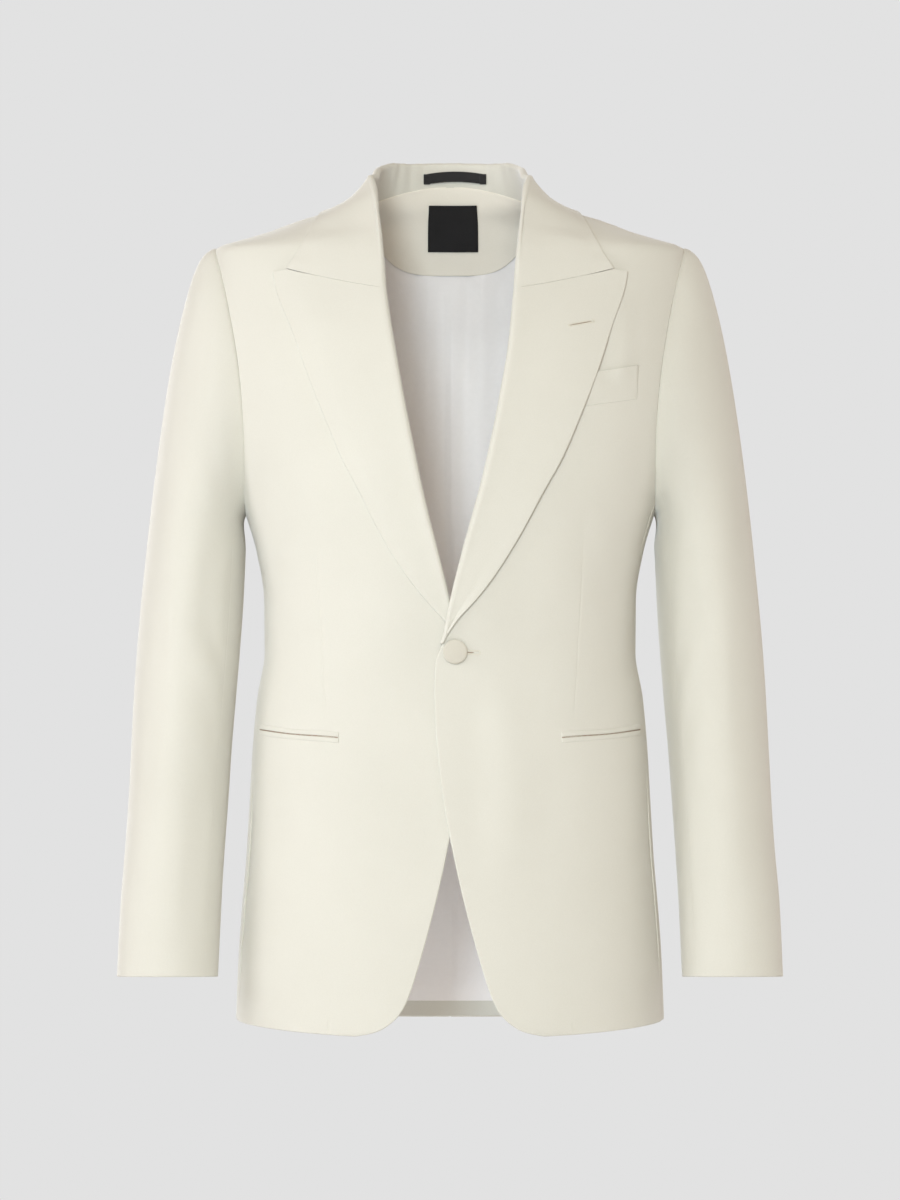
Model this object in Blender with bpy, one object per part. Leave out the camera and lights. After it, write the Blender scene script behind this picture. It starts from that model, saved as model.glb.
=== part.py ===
"""A one-button dinner jacket with peak lapels, filled out as if worn, as separate closed cloth pieces.

Axes: +Z up, the front faces -Y, the wearer's left is +X. The origin lies between the shoulders,
where the wearer carries the jacket. Lengths inside this script are millimetres; make_object
turns them into metres.

The body is one smooth surface, body_point(angle, height): angle -90 is the centre front,
0 the side or the shoulder ridge, and 90 the centre back. Every body panel is a part of it.
"""

import bpy
import numpy as np

MM = 0.001

# Cloth
WALL = 2.0  # body and sleeve cloth with its interlining
LINING_WALL = 1.0
SEAM_GAP = 0.3
SIDE_SEAM_GAP = 0.5
LAYER_GAP = 1.5  # between a back panel and its lining
INNER_GAP = 1.4  # between the lining and the neck facing on it
LABEL_GAP = 1.0

# Body
SHOULDER_TIP_HEIGHT = -41.5
SIDE_Y = 8.0  # the side line lies this far behind the frontal plane
ROUNDNESS = 2.4  # exponent of the horizontal sections, 2 is an ellipse
SIDE_HEM_RISE = 8.0
HEM_HEIGHT = -745.0
HEM_BLEND_TOP = -600.0
FRONT_SEAM_ANGLE = -12.0
BACK_SEAM_ANGLE = 30.0

# Armhole: an egg in angle and height on the body
ARMHOLE_TOP = SHOULDER_TIP_HEIGHT
ARMHOLE_BOTTOM = -280.5
ARMHOLE_FRONT_ANGLE = 29.0
ARMHOLE_BACK_ANGLE = 38.0
SEAM_TURN = SIDE_SEAM_GAP / 2 / 2.6  # degrees of body angle in half a side seam's gap
ARMHOLE_CLEAR_TURN = 0.45  # degrees by which the panels stop short of the sleeve
ARMHOLE_CLEAR = 2.4  # the same under the arm, in mm
SLEEVE_CLEAR = 2.1  # and the sleeve of the armhole

# Neck
NECK_SIDE_HEIGHT = 1.5
NECK_BACK_HEIGHT = 18.0

# Fronts
CENTRE_SHIFT = 1.5  # both roll lines lie this much towards the wearer's left
SHIFT_FADE_FROM = -150.0
SHIFT_FADE_LENGTH = 70.0
BREAK_HEIGHT = -401.5  # the roll line meets the front edge here
BREAK_BLEND = 22.0
GORGE_HEIGHT = -84.6  # the roll line meets the collar here
OVERLAP_LIFT = 1.6  # half the distance between the fronts where they overlap
OVERLAP_REACH = 12.0  # full lift to this distance from the centre
OVERLAP_FADE = 62.0
OVERLAP_TOP = -356.0
OVERLAP_TOP_FADE = 50.0
ROLL_LIFT = 4.3  # further lift of the upper front over the folded lapel below it
ROLL_LIFT_HEIGHT = -368.0
ROLL_LIFT_LENGTH = 34.0

# Lapels and collar
LAPEL_WALL = 2.0
LAPEL_FOOT_UPPER = -384.0
LAPEL_FOOT_UNDER = -381.0
FOLD_RADIUS = 2.4  # middle of the cloth where it turns over, at the neck
PRESSED_RADIUS = 1.6  # the same at the lapel's pressed lower end
FOLD_LEG = 0.4
FOLD_TURNS = (30.0, 60.0, 90.0, 120.0, 150.0)
LAPEL_CLEAR = 3.6  # middle of the lapel's cloth above the middle of the front's
PRESSED_CLEAR = 2.5
PRESSED_TO = -250.0  # the pressing has faded out at this height
COLLAR_CORNER = (-51.2, -64.6)  # angle and height on the body
GORGE_GAP = 0.5
RIDGE_CLEAR = 1.2  # the collar stands this much further off the shoulder's ridge
NECK_GAP = 2.0  # between the collar and the fronts' neck edge

# Pockets
HIP_POCKET_INNER = 98.5  # from the centre
HIP_POCKET_LENGTH = 72.5
HIP_POCKET_HEIGHT = -481.5
HIP_POCKET_RISE = 5.5
# height above the pocket's middle, thickness over the front: two jets and the mouth between
HIP_POCKET_PROFILE = np.array([
    (-5.0, 0.5),
    (-4.6, 1.3),
    (-0.9, 1.3),
    (-0.3, 0.55),
    (0.3, 0.55),
    (0.9, 1.3),
    (4.6, 1.3),
    (5.0, 0.5),
])
WELT_INNER = 92.0  # from the centre
WELT_LENGTH = 75.0
WELT_TOP = -160.5
WELT_RISE = 11.0
WELT_DEPTH = 31.0
WELT_WALL = 0.8

# Button
BUTTON_X = 4.5
BUTTON_HEIGHT = -404.7
BUTTON_SEGMENTS = 20
# radius, height over the cloth: a low dome, a rounded rim and a short shank
BUTTON_PROFILE = (
    (0.0, 4.4),
    (6.0, 4.1),
    (9.3, 3.3),
    (11.0, 2.0),
    (10.3, 0.9),
    (3.0, 0.7),
    (3.0, 0.0),
    (0.0, 0.0),
)

# Inside the back
FACING_HALF_WIDTH = 74.0
FACING_END_ANGLE = 6.0  # where the facing stops beside the neck
FACING_BOTTOM = -58.0
FACING_CURVE_WIDTH = 55.0
FACING_CURVE_RISE = 12.0
FACING_BELOW_NECK = 1.5
SHOULDER_LINING_TOP = -9.0
LABEL_WIDTH = 46.0
LABEL_HEIGHT = 41.0
LABEL_TOP = 5.5
LABEL_X = 2.8  # the label and the loop sit a little off the centre
LABEL_WALL = 0.8
LINING_UNDER_FACING = 5.0  # the lining runs on this far behind the neck facing
PLEAT_DEPTH = 1.6  # the lining's fold down the centre back
PLEAT_HALF_WIDTH = 4.0
PLEAT_TOP = -62.0
PLEAT_FADE = 25.0
LINING_ARMHOLE_TURN = 2.2  # degrees by which the lining stops short of the armhole
BACK_HEM_FACING = 14.0
LOOP_X = 4.5
LOOP_LENGTH = 55.0
LOOP_WIDTH = 8.5
LOOP_HEIGHT = 26.4
LOOP_ARCH = 2.4
LOOP_BOW = 2.2
LOOP_WALL = 1.0

IVORY = (0.82, 0.79, 0.69, 1.0)
LINING_WHITE = (0.74, 0.74, 0.78, 1.0)
BLACK = (0.012, 0.012, 0.014, 1.0)

# height, half width, depth of the front, depth of the back
BODY_SECTIONS = np.array([
    (-745.0, 193.0, 124.0, 126.0),
    (-676.0, 190.5, 123.0, 125.0),
    (-585.0, 183.5, 121.0, 120.0),
    (-495.0, 178.0, 119.0, 111.0),
    (-450.0, 174.0, 118.0, 105.0),
    (-405.0, 166.8, 119.0, 101.0),
    (-360.0, 167.2, 123.0, 103.0),
    (-314.0, 174.5, 126.0, 109.0),
    (-280.0, 184.5, 126.0, 115.0),
    (-248.5, 193.5, 124.5, 121.0),
    (-220.0, 199.5, 122.0, 125.0),
    (-180.0, 207.0, 116.0, 128.0),
    (-151.0, 211.0, 109.0, 127.0),
    (-124.0, 213.5, 101.0, 124.0),
    (-100.0, 214.5, 92.0, 118.0),
    (-76.0, 214.2, 82.0, 111.0),
    (-56.0, 213.3, 74.0, 104.0),
    (-45.0, 212.3, 69.0, 99.5),
    (-41.5, 210.3, 67.0, 98.0),
    (-28.5, 167.0, 60.0, 92.0),
    (-17.6, 138.0, 54.0, 87.0),
    (-10.3, 114.0, 49.8, 83.6),
    (-4.8, 92.0, 45.9, 80.8),
    (1.5, 73.0, 41.0, 77.2),
    (18.0, 66.0, 28.0, 69.0),
])

# height, distance of the front edge from the centre; below the break point
FRONT_EDGE = np.array([
    (-745.6, 84.0),
    (-744.0, 76.0),
    (-741.0, 65.0),
    (-735.0, 54.5),
    (-726.5, 45.5),
    (-715.0, 38.8),
    (-700.0, 33.2),
    (-678.0, 26.5),
    (-655.0, 20.0),
    (-630.0, 13.5),
    (-600.0, 6.5),
    (-570.0, 0.3),
    (-553.0, -3.0),
    (-510.0, -9.0),
    (-465.0, -12.8),
    (-440.0, -13.5),
    (-416.0, -12.6),
    (-401.5, -8.8),
])

# height, distance of the roll line from the centre
ROLL_LINE = np.array([
    (-401.5, -8.8),
    (-360.0, -1.0),
    (-320.0, 8.8),
    (-285.0, 17.8),
    (-250.0, 26.6),
    (-210.0, 35.6),
    (-170.0, 43.4),
    (-130.0, 50.2),
    (-92.6, 55.0),
    (-60.0, 58.6),
    (-37.0, 60.2),
    (-13.5, 63.2),
    (1.5, 73.0),
])

# height, distance of the lapel's outer edge from the centre
LAPEL_EDGE = np.array([
    (-380.0, 5.0),
    (-359.0, 22.5),
    (-338.0, 37.5),
    (-309.0, 55.5),
    (-264.0, 79.0),
    (-231.0, 97.0),
    (-208.0, 107.0),
    (-158.0, 127.0),
    (-119.0, 140.5),
    (-78.5, 155.0),
    (-66.3, 157.0),
])

# Half the collar from the centre back to the gorge: angle of its seam on the body (front
# stations follow the front's neck edge), height of the seam, stand, how far the stand lies down
# along the body (0 upright, 1 flat), distance from the centre and height of its outer edge on
# the body, and how fast the fall drops to the body.
COLLAR_STATIONS = np.array([
    (90.0, 18.0, 19.6, 0.00, 0.0, -11.0, 1.4),
    (62.0, 14.4, 21.8, 0.08, 58.0, -12.0, 1.5),
    (30.0, 5.6, 29.5, 0.21, 100.0, -12.0, 2.6),
    (0.0, 1.5, 26.9, 0.22, 111.5, -9.9, 3.6),
    (-38.0, -4.0, 14.0, 0.33, 122.3, -24.0, 3.2),
    (-60.0, -18.0, 5.5, 0.17, 130.2, -38.6, 3.0),
    (-71.0, -50.0, 2.0, 0.40, 138.3, -53.4, 2.6),
    (-73.8, -84.1, 0.4, 1.00, 144.8, -64.1, 2.0),
])
RIDGE_STATION = 3

# height, outer and inner reach from the centre, middle in depth, half depth
SLEEVE_SECTIONS = np.array([
    (-696.0, 297.5, 209.0, -48.0, 41.0),
    (-631.0, 295.0, 206.5, -36.0, 45.0),
    (-585.0, 291.5, 204.0, -28.0, 48.5),
    (-540.0, 289.0, 201.0, -20.0, 52.0),
    (-495.0, 287.0, 198.0, -13.0, 55.5),
    (-450.0, 285.0, 194.5, -7.0, 58.5),
    (-405.0, 282.0, 191.0, -2.0, 61.5),
    (-360.0, 278.5, 188.0, 2.0, 64.5),
    (-315.0, 274.0, 186.0, 5.0, 67.0),
])
SLEEVE_FRONT_SEAM = 140.0  # degrees round the sleeve from its outer side, over the front
SLEEVE_BACK_SEAM = 258.0
CUFF_TILT = 0.06
CUFF_TILT_REACH = 200.0
SLEEVE_SEAM_TURN = SEAM_GAP / 2 / 0.8  # degrees round the sleeve in half a seam gap
# The direction in which the sleeve leaves the armhole
ARMHOLE_AWAY = 0.80
ARMHOLE_AWAY_TOP = 0.16
ARMHOLE_FORWARD = 0.30
ARMHOLE_RISE_TOP = 0.30
ARMHOLE_DROP = 0.50
CROWN_REACH = 30.0


def monotone_curve(table, column, at):
    """Piecewise cubic through a table's rows (by its first column) that never overshoots them."""
    x = table[:, 0]
    y = table[:, column]
    at = np.clip(np.asarray(at, float), min(x[0], x[-1]), max(x[0], x[-1]))
    if x[0] > x[-1]:
        x, y = x[::-1], y[::-1]
    step = np.diff(x)
    slope = np.diff(y) / step
    tangent = np.zeros(len(x))
    tangent[0], tangent[-1] = slope[0], slope[-1]
    for i in range(1, len(x) - 1):
        if slope[i - 1] * slope[i] > 0:
            before = 2 * step[i] + step[i - 1]
            after = step[i] + 2 * step[i - 1]
            tangent[i] = (before + after) / (before / slope[i - 1] + after / slope[i])
    k = np.clip(np.searchsorted(x, at, side="right") - 1, 0, len(x) - 2)
    t = (at - x[k]) / step[k]
    return (
        y[k] * (1 + 2 * t) * (1 - t) ** 2
        + y[k + 1] * t**2 * (3 - 2 * t)
        + step[k] * (tangent[k] * t * (1 - t) ** 2 - tangent[k + 1] * t**2 * (1 - t))
    )


def signed_power(base, exponent):
    return np.sign(base) * np.abs(base) ** exponent


def smooth(t):
    """0 below 0, 1 above 1, and an S curve between."""
    t = np.clip(t, 0.0, 1.0)
    return t * t * (3 - 2 * t)


def unit(vectors):
    return vectors / np.maximum(np.linalg.norm(vectors, axis=-1, keepdims=True), 1e-9)


# ---------------------------------------------------------------- the body's surface


def body_point(angle, height):
    """The body's middle surface, on the wearer's left; an angle below -90 passes the centre."""
    angle = np.radians(angle)
    half_width = monotone_curve(BODY_SECTIONS, 1, height)
    front = monotone_curve(BODY_SECTIONS, 2, height) + SIDE_Y
    back = monotone_curve(BODY_SECTIONS, 3, height) - SIDE_Y
    across = signed_power(np.cos(angle), 2 / ROUNDNESS)
    deep = signed_power(np.sin(angle), 2 / ROUNDNESS)
    y = SIDE_Y + np.where(deep < 0, front, back) * deep
    return np.stack([half_width * across, y, height + 0 * y], axis=-1)


def body_normal(angle, height):
    """The outward normal of the body's surface."""
    turn, climb = 0.6, 1.5
    along = body_point(angle + turn, height) - body_point(angle - turn, height)
    up = body_point(angle, height + climb) - body_point(angle, height - climb)
    return unit(np.cross(along, up))


def angle_at(x, height, side):
    """The angle of a distance x from the centre, on the front (side -1) or the back (side 1)."""
    share = np.clip(x / monotone_curve(BODY_SECTIONS, 1, height), -1.0, 1.0)
    return side * np.degrees(np.arccos(signed_power(share, ROUNDNESS / 2)))


def armhole_height(angle):
    """The height of the armhole's lower half at an angle."""
    widest = np.where(angle < 0, ARMHOLE_FRONT_ANGLE, ARMHOLE_BACK_ANGLE)
    middle = (ARMHOLE_TOP + ARMHOLE_BOTTOM) / 2
    return middle - (ARMHOLE_TOP - middle) * np.sqrt(np.clip(1 - (angle / widest) ** 2, 0, 1))


def armhole_angle(height, widest):
    """The angle of the armhole at a height, 0 above the shoulder's tip."""
    middle = (ARMHOLE_TOP + ARMHOLE_BOTTOM) / 2
    share = np.clip((height - middle) / (ARMHOLE_TOP - middle), -1.0, 1.0)
    return widest * np.sqrt(1 - share**2)


def armhole_loop(turn):
    """The armhole's points by turn in degrees: 0 the shoulder's tip, 90 front, 180 armpit."""
    turn = np.radians(turn)
    middle = (ARMHOLE_TOP + ARMHOLE_BOTTOM) / 2
    height = middle + (ARMHOLE_TOP - middle) * np.cos(turn)
    widest = np.where(np.sin(turn) > 0, ARMHOLE_FRONT_ANGLE, ARMHOLE_BACK_ANGLE)
    return body_point(-widest * np.sin(turn), height)


def seam_top_height(seam_angle):
    return armhole_height(np.array(seam_angle))


def outer_angle(height, widest, seam_angle):
    """Where a front or back panel ends: its side seam, then the armhole, then the ridge."""
    edge = armhole_angle(height, widest)
    return np.where(height < seam_top_height(seam_angle), abs(seam_angle), edge)


def hem_raised(row_height, angle):
    """A row's height, raised towards the side near the hem."""
    near_hem = np.clip((HEM_BLEND_TOP - row_height) / (HEM_BLEND_TOP - HEM_HEIGHT), 0, 1)
    return row_height + SIDE_HEM_RISE * near_hem * np.cos(np.radians(angle)) ** 2


# ---------------------------------------------------------------- meshes


def grid_faces(rows, columns, first=0, flip=False):
    faces = []
    for i in range(rows - 1):
        for j in range(columns - 1):
            a = first + i * columns + j
            face = (a, a + 1, a + columns + 1, a + columns)
            faces.append(face[::-1] if flip else face)
    return faces


def rim_of(rows, columns):
    """The indices round a grid's edge, in the turning sense of its faces."""
    bottom = list(range(columns))
    right = [i * columns + columns - 1 for i in range(1, rows)]
    top = [(rows - 1) * columns + j for j in range(columns - 2, -1, -1)]
    left = [i * columns for i in range(rows - 2, 0, -1)]
    return bottom + right + top + left


def wall_mesh(outer, inner):
    """A closed wall between two grids of points; the outer grid's faces turn outward."""
    rows, columns = outer.shape[:2]
    count = rows * columns
    faces = grid_faces(rows, columns) + grid_faces(rows, columns, count, flip=True)
    rim = rim_of(rows, columns)
    for a, b in zip(rim, rim[1:] + rim[:1]):
        faces.append((b, a, a + count, b + count))
    points = np.concatenate([outer.reshape(-1, 3), inner.reshape(-1, 3)])
    return points, faces


def grid_normals(points):
    """Normals of a grid: the column direction crossed with the row direction."""
    along = np.gradient(points, axis=1)
    up = np.gradient(points, axis=0)
    return unit(np.cross(along, up))


def mirrored(mesh):
    points, faces = mesh
    return points * (-1, 1, 1), [face[::-1] for face in faces]


def material(name, colour, roughness):
    found = bpy.data.materials.get(name) or bpy.data.materials.new(name)
    found.use_nodes = True
    shader = found.node_tree.nodes["Principled BSDF"]
    shader.inputs["Base Color"].default_value = colour
    shader.inputs["Roughness"].default_value = roughness
    shader.inputs["Metallic"].default_value = 0.0
    return found


def make_object(name, mesh, colour, roughness):
    points, faces = mesh
    data = bpy.data.meshes.new(name)
    data.from_pydata([tuple(p) for p in np.asarray(points) * MM], [], faces)
    data.validate()
    data.shade_smooth()
    data.set_sharp_from_angle(angle=np.radians(50))
    data.materials.append(material(name, colour, roughness))
    piece = bpy.data.objects.new(name, data)
    bpy.context.scene.collection.objects.link(piece)
    return piece


def wall(points, normals, middle=0.0, thickness=WALL):
    """A wall round a grid of middle points; the first normals' side is the outer one."""
    return wall_mesh(
        points + normals * (middle + thickness / 2), points + normals * (middle - thickness / 2)
    )


# ---------------------------------------------------------------- fronts, sides, backs


def overlap_lift(x, height, upper):
    """How far a front is moved outward near the centre, where the two fronts overlap."""
    near_centre = 1 - smooth((x - OVERLAP_REACH) / OVERLAP_FADE)
    below_opening = 1 - smooth((height - OVERLAP_TOP) / OVERLAP_TOP_FADE)
    if not upper:
        return -OVERLAP_LIFT * near_centre * below_opening
    roll = ROLL_LIFT * np.exp(-(((height - ROLL_LIFT_HEIGHT) / ROLL_LIFT_LENGTH) ** 2))
    return (OVERLAP_LIFT * below_opening + roll) * near_centre


def front_surface(x, height, upper):
    """Middle surface and normal of a front panel at a distance from the centre and a height."""
    angle = angle_at(x, height, -1)
    normals = body_normal(angle, height)
    lift = overlap_lift(x, height, upper)
    return body_point(angle, height) + normals * lift[..., None], normals


def centre_shift(height, upper):
    """The roll line's shift, which fades out towards the collar."""
    fade = 1 - smooth((height - SHIFT_FADE_FROM) / SHIFT_FADE_LENGTH)
    return CENTRE_SHIFT * fade * (1 if upper else -1)


def fold_radius(height):
    """The fold is pressed tighter towards the lapel's lower end."""
    open_share = smooth((height - BREAK_HEIGHT) / (PRESSED_TO - BREAK_HEIGHT))
    return PRESSED_RADIUS + (FOLD_RADIUS - PRESSED_RADIUS) * open_share


def lapel_clear(height):
    open_share = smooth((height - BREAK_HEIGHT) / (PRESSED_TO - BREAK_HEIGHT))
    return PRESSED_CLEAR + (LAPEL_CLEAR - PRESSED_CLEAR) * open_share


def front_inner_x(height, upper):
    """Distance from the centre of the front panel's own edge: hem, cutaway, roll line, neck."""
    cut = monotone_curve(FRONT_EDGE, 1, height)
    roll = monotone_curve(ROLL_LINE, 1, height) + centre_shift(height, upper)
    roll = roll + fold_radius(height) + LAPEL_WALL / 2 + FOLD_LEG + SEAM_GAP
    above_break = smooth((height - BREAK_HEIGHT + 8.0) / BREAK_BLEND)
    return cut * (1 - above_break) + roll * above_break


FRONT_ROWS = np.array([
    -745.4, -743.8, -739.5, -731.0, -717.0, -696.0, -660.0, -620.0, -575.0, -530.0, -485.0,
    -445.0, -416.0, -402.0, -390.0, -378.0, -362.0, -335.0, -302.0, -270.1, -246.0, -218.0,
    -188.0, -158.0,
    -128.0, -100.0, -76.0, -58.0, -48.0, -41.5, -32.0, -22.0, -13.5, -6.0, 1.0,
])
FRONT_COLUMNS = 9


def front_panel(upper):
    rows = FRONT_ROWS[:, None]
    outer = outer_angle(rows, ARMHOLE_FRONT_ANGLE, FRONT_SEAM_ANGLE)
    outer = outer + SEAM_TURN + ARMHOLE_CLEAR_TURN * (rows > seam_top_height(FRONT_SEAM_ANGLE))
    inner_x = front_inner_x(rows, upper)
    inner = -angle_at(inner_x, rows, -1)
    share = np.linspace(0, 1, FRONT_COLUMNS)[None, :]
    angle = -(inner + (outer - inner) * share)
    height = hem_raised(rows + 0 * share, angle)
    points = body_point(angle, height)
    normals = body_normal(angle, height)
    x = points[..., 0]
    points = points + normals * overlap_lift(x, height, upper)[..., None]
    return wall(points, normals)


def side_body():
    columns = 6
    share = np.linspace(0, 1, columns)[None, :]
    first, last = FRONT_SEAM_ANGLE + SEAM_TURN, BACK_SEAM_ANGLE - SEAM_TURN
    angle = first + (last - first) * share
    top = armhole_height(angle) - ARMHOLE_CLEAR
    rise = np.linspace(0, 1, 15)[:, None] ** 0.92
    flat = HEM_HEIGHT + (top - HEM_HEIGHT) * rise
    height = hem_raised(flat, angle)
    return wall(body_point(angle, height), body_normal(angle, height))


BACK_ROWS = np.array([
    -745.0, -700.0, -650.0, -600.0, -550.0, -500.0, -455.0, -415.0, -375.0, -335.0, -300.0,
    -268.0, -235.0, -208.0, -180.0, -150.0, -122.0, -97.0, -76.0, -58.0, -48.0, -41.5, -32.0,
    -22.0, -13.5, -6.0, 1.0,
])
BACK_COLUMNS = 9
LINING_COLUMNS = 12
LINING_SPLIT = -130.0  # level rows below this height, rows that follow the top edge above it


def neck_height(angle):
    """Height of the back neck seam, rising from the ridge to the centre back."""
    rise = NECK_BACK_HEIGHT - NECK_SIDE_HEIGHT
    return NECK_SIDE_HEIGHT + rise * np.sin(np.radians(np.clip(angle, 0, 90))) ** 2


def back_angles(rows, columns, seam_turn):
    outer = outer_angle(rows, ARMHOLE_BACK_ANGLE, BACK_SEAM_ANGLE) + seam_turn
    outer = outer + ARMHOLE_CLEAR_TURN * (rows > seam_top_height(BACK_SEAM_ANGLE))
    centre = angle_at(SEAM_GAP / 2, rows, 1)
    return centre + (outer - centre) * np.linspace(0, 1, columns)[None, ::-1]


def back_panel():
    rows = BACK_ROWS[:, None]
    angle = back_angles(rows, BACK_COLUMNS, SEAM_TURN)
    height = hem_raised(rows + 0 * angle, angle)
    height[-1] = neck_height(angle[-1]) - 0.5
    height[-2] = height[-3] + (height[-1] - height[-3]) * 0.5
    return wall(body_point(angle, height), body_normal(angle, height))


# ---------------------------------------------------------------- lapels and collar


def folded_sheet(start, leg, out, leg_length, radius, fall):
    """Rows of a cloth that leaves a seam along leg, turns over and comes back along fall.

    start, leg and out are (stations, 3): the seam, the direction of the first leg, and the
    direction from the first leg to the second. fall is (stations, points, 3).
    """
    strips = []
    for share in (0.0, 0.5, 1.0):
        strips.append(start + leg * (leg_length * share)[:, None])
    middle = start + leg * leg_length[:, None] + out * radius[:, None]
    for turn in np.radians(FOLD_TURNS):
        strips.append(middle + (leg * np.sin(turn) - out * np.cos(turn)) * radius[:, None])
    for k in range(fall.shape[1]):
        strips.append(fall[:, k])
    return np.stack(strips, axis=1)


def gorge_line(share, drop):
    """Distance from the centre and height along the gorge, 0 at the roll and 1 at the peak."""
    seam_x = front_inner_x(np.array(GORGE_HEIGHT), True) - SEAM_GAP
    seam_angle = angle_at(seam_x, GORGE_HEIGHT, -1)
    peak_angle = angle_at(LAPEL_EDGE[-1, 1], LAPEL_EDGE[-1, 0], -1)
    corner_angle, corner_height = COLLAR_CORNER
    corner_share = (corner_angle - seam_angle) / (peak_angle - seam_angle)
    angle = seam_angle + (peak_angle - seam_angle) * share
    height = np.interp(
        share, (0, corner_share, 1), (GORGE_HEIGHT, corner_height, LAPEL_EDGE[-1, 0])
    )
    return body_point(angle, height)[..., 0], height - drop


def lapel(upper):
    rows = np.linspace(0, 1, 14)
    lowest = LAPEL_FOOT_UPPER if upper else LAPEL_FOOT_UNDER
    roll_height = lowest + (GORGE_HEIGHT - GORGE_GAP - lowest) * rows
    edge_height = LAPEL_EDGE[0, 0] + (LAPEL_EDGE[-1, 0] - GORGE_GAP - LAPEL_EDGE[0, 0]) * rows
    seam_x = front_inner_x(roll_height, upper) - SEAM_GAP
    edge_x = monotone_curve(LAPEL_EDGE, 1, edge_height) + centre_shift(edge_height, upper)
    start, normals = front_surface(seam_x, roll_height, upper)
    inboard, _ = front_surface(seam_x - 3.0, roll_height, upper)
    leg = unit(inboard - start)
    share = np.linspace(0.02, 1, 8)
    x = seam_x[:, None] + (edge_x - seam_x)[:, None] * share
    height = roll_height[:, None] + (edge_height - roll_height)[:, None] * share
    gorge_x, gorge_height = gorge_line(share, GORGE_GAP)
    towards_gorge = rows[:, None] ** 6
    x = x + (gorge_x - x[-1]) * towards_gorge
    height = height + (gorge_height - height[-1]) * towards_gorge
    surface, surface_normals = front_surface(x, height, upper)
    radius = fold_radius(roll_height)
    clear = lapel_clear(height)
    extra = (2 * radius[:, None] - clear) * (1 - share) ** 2
    fall = surface + surface_normals * (clear + extra)[..., None]
    sheet = folded_sheet(start, leg, normals, np.full(len(rows), FOLD_LEG), radius, fall)
    return wall(sheet, grid_normals(sheet), thickness=LAPEL_WALL)


def collar_sheet():
    """Middle points of the whole collar, stations by points across."""
    half_count = 15
    position = np.linspace(0, len(COLLAR_STATIONS) - 1, half_count)
    table = np.column_stack([np.arange(len(COLLAR_STATIONS)), COLLAR_STATIONS])
    seam_angle, seam_height, stand, lying_down, edge_x, edge_height, drop = (
        monotone_curve(table, column, position) for column in range(1, 8)
    )
    edge_angle = angle_at(edge_x, edge_height, np.where(position > RIDGE_STATION, -1, 1))
    neck_x = front_inner_x(seam_height, True) - NECK_GAP
    seam_angle = np.where(seam_angle < -20, angle_at(neck_x, seam_height, -1), seam_angle)
    start = body_point(seam_angle, seam_height)
    normals = body_normal(seam_angle, seam_height)
    upright = np.clip(1 + seam_angle / 50, 0, 1)[:, None]
    start = start + np.array([0, 0, 1.0]) * upright
    towards = np.stack(
        [-start[:, 0], -np.clip(start[:, 1] - 20, 0, None), 0 * start[:, 0]], axis=-1
    )
    towards_neck = unit(towards)
    along = body_point(seam_angle - 1, seam_height) - body_point(seam_angle, seam_height)
    flat = unit(np.where(seam_angle[:, None] < -20, along, towards_neck))
    leg = np.array([0, 0, 1.0]) * (1 - lying_down)[:, None] + flat * lying_down[:, None]
    leg = unit(leg)
    out = unit(normals - leg * (normals * leg).sum(axis=-1, keepdims=True))
    start = start + towards_neck * upright * (SEAM_GAP + 1.0)
    radius = np.full(half_count, FOLD_RADIUS)
    share = np.linspace(0, 1, 8)[None, :]
    angle = seam_angle[:, None] + (edge_angle - seam_angle)[:, None] * share
    height = seam_height[:, None] + (edge_height - seam_height)[:, None] * share
    over_ridge = np.exp(-((position - RIDGE_STATION - 0.3) ** 2)) * RIDGE_CLEAR
    clear = (LAPEL_CLEAR + over_ridge)[:, None, None]
    lying = body_point(angle, height) + body_normal(angle, height) * clear
    top = start + leg * stand[:, None] + out * (2 * radius)[:, None]
    raised = (top - lying[:, 0])[:, None, :] * ((1 - share) ** drop[:, None])[..., None]
    sheet = folded_sheet(start, leg, out, stand, radius, lying + raised)
    other = sheet[:0:-1] * (-1, 1, 1)
    return np.concatenate([other, sheet])


def collar():
    sheet = collar_sheet()
    return wall(sheet, grid_normals(sheet), thickness=WALL)


# ---------------------------------------------------------------- sleeves


def sleeve_ring(height, turn):
    """Middle surface of the sleeve below the crown."""
    outer, inner, middle_y, half_depth = (
        monotone_curve(SLEEVE_SECTIONS, column, height) for column in range(1, 5)
    )
    turn = np.radians(turn)
    x = (outer + inner) / 2 + (outer - inner) / 2 * np.cos(turn)
    y = middle_y - half_depth * np.sin(turn)
    lowest = SLEEVE_SECTIONS[0, 0]
    near_cuff = np.clip((lowest + CUFF_TILT_REACH - height) / CUFF_TILT_REACH, 0, 1)
    z = height - CUFF_TILT * near_cuff * (y - middle_y)
    return np.stack([x, y, z], axis=-1)


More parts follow.
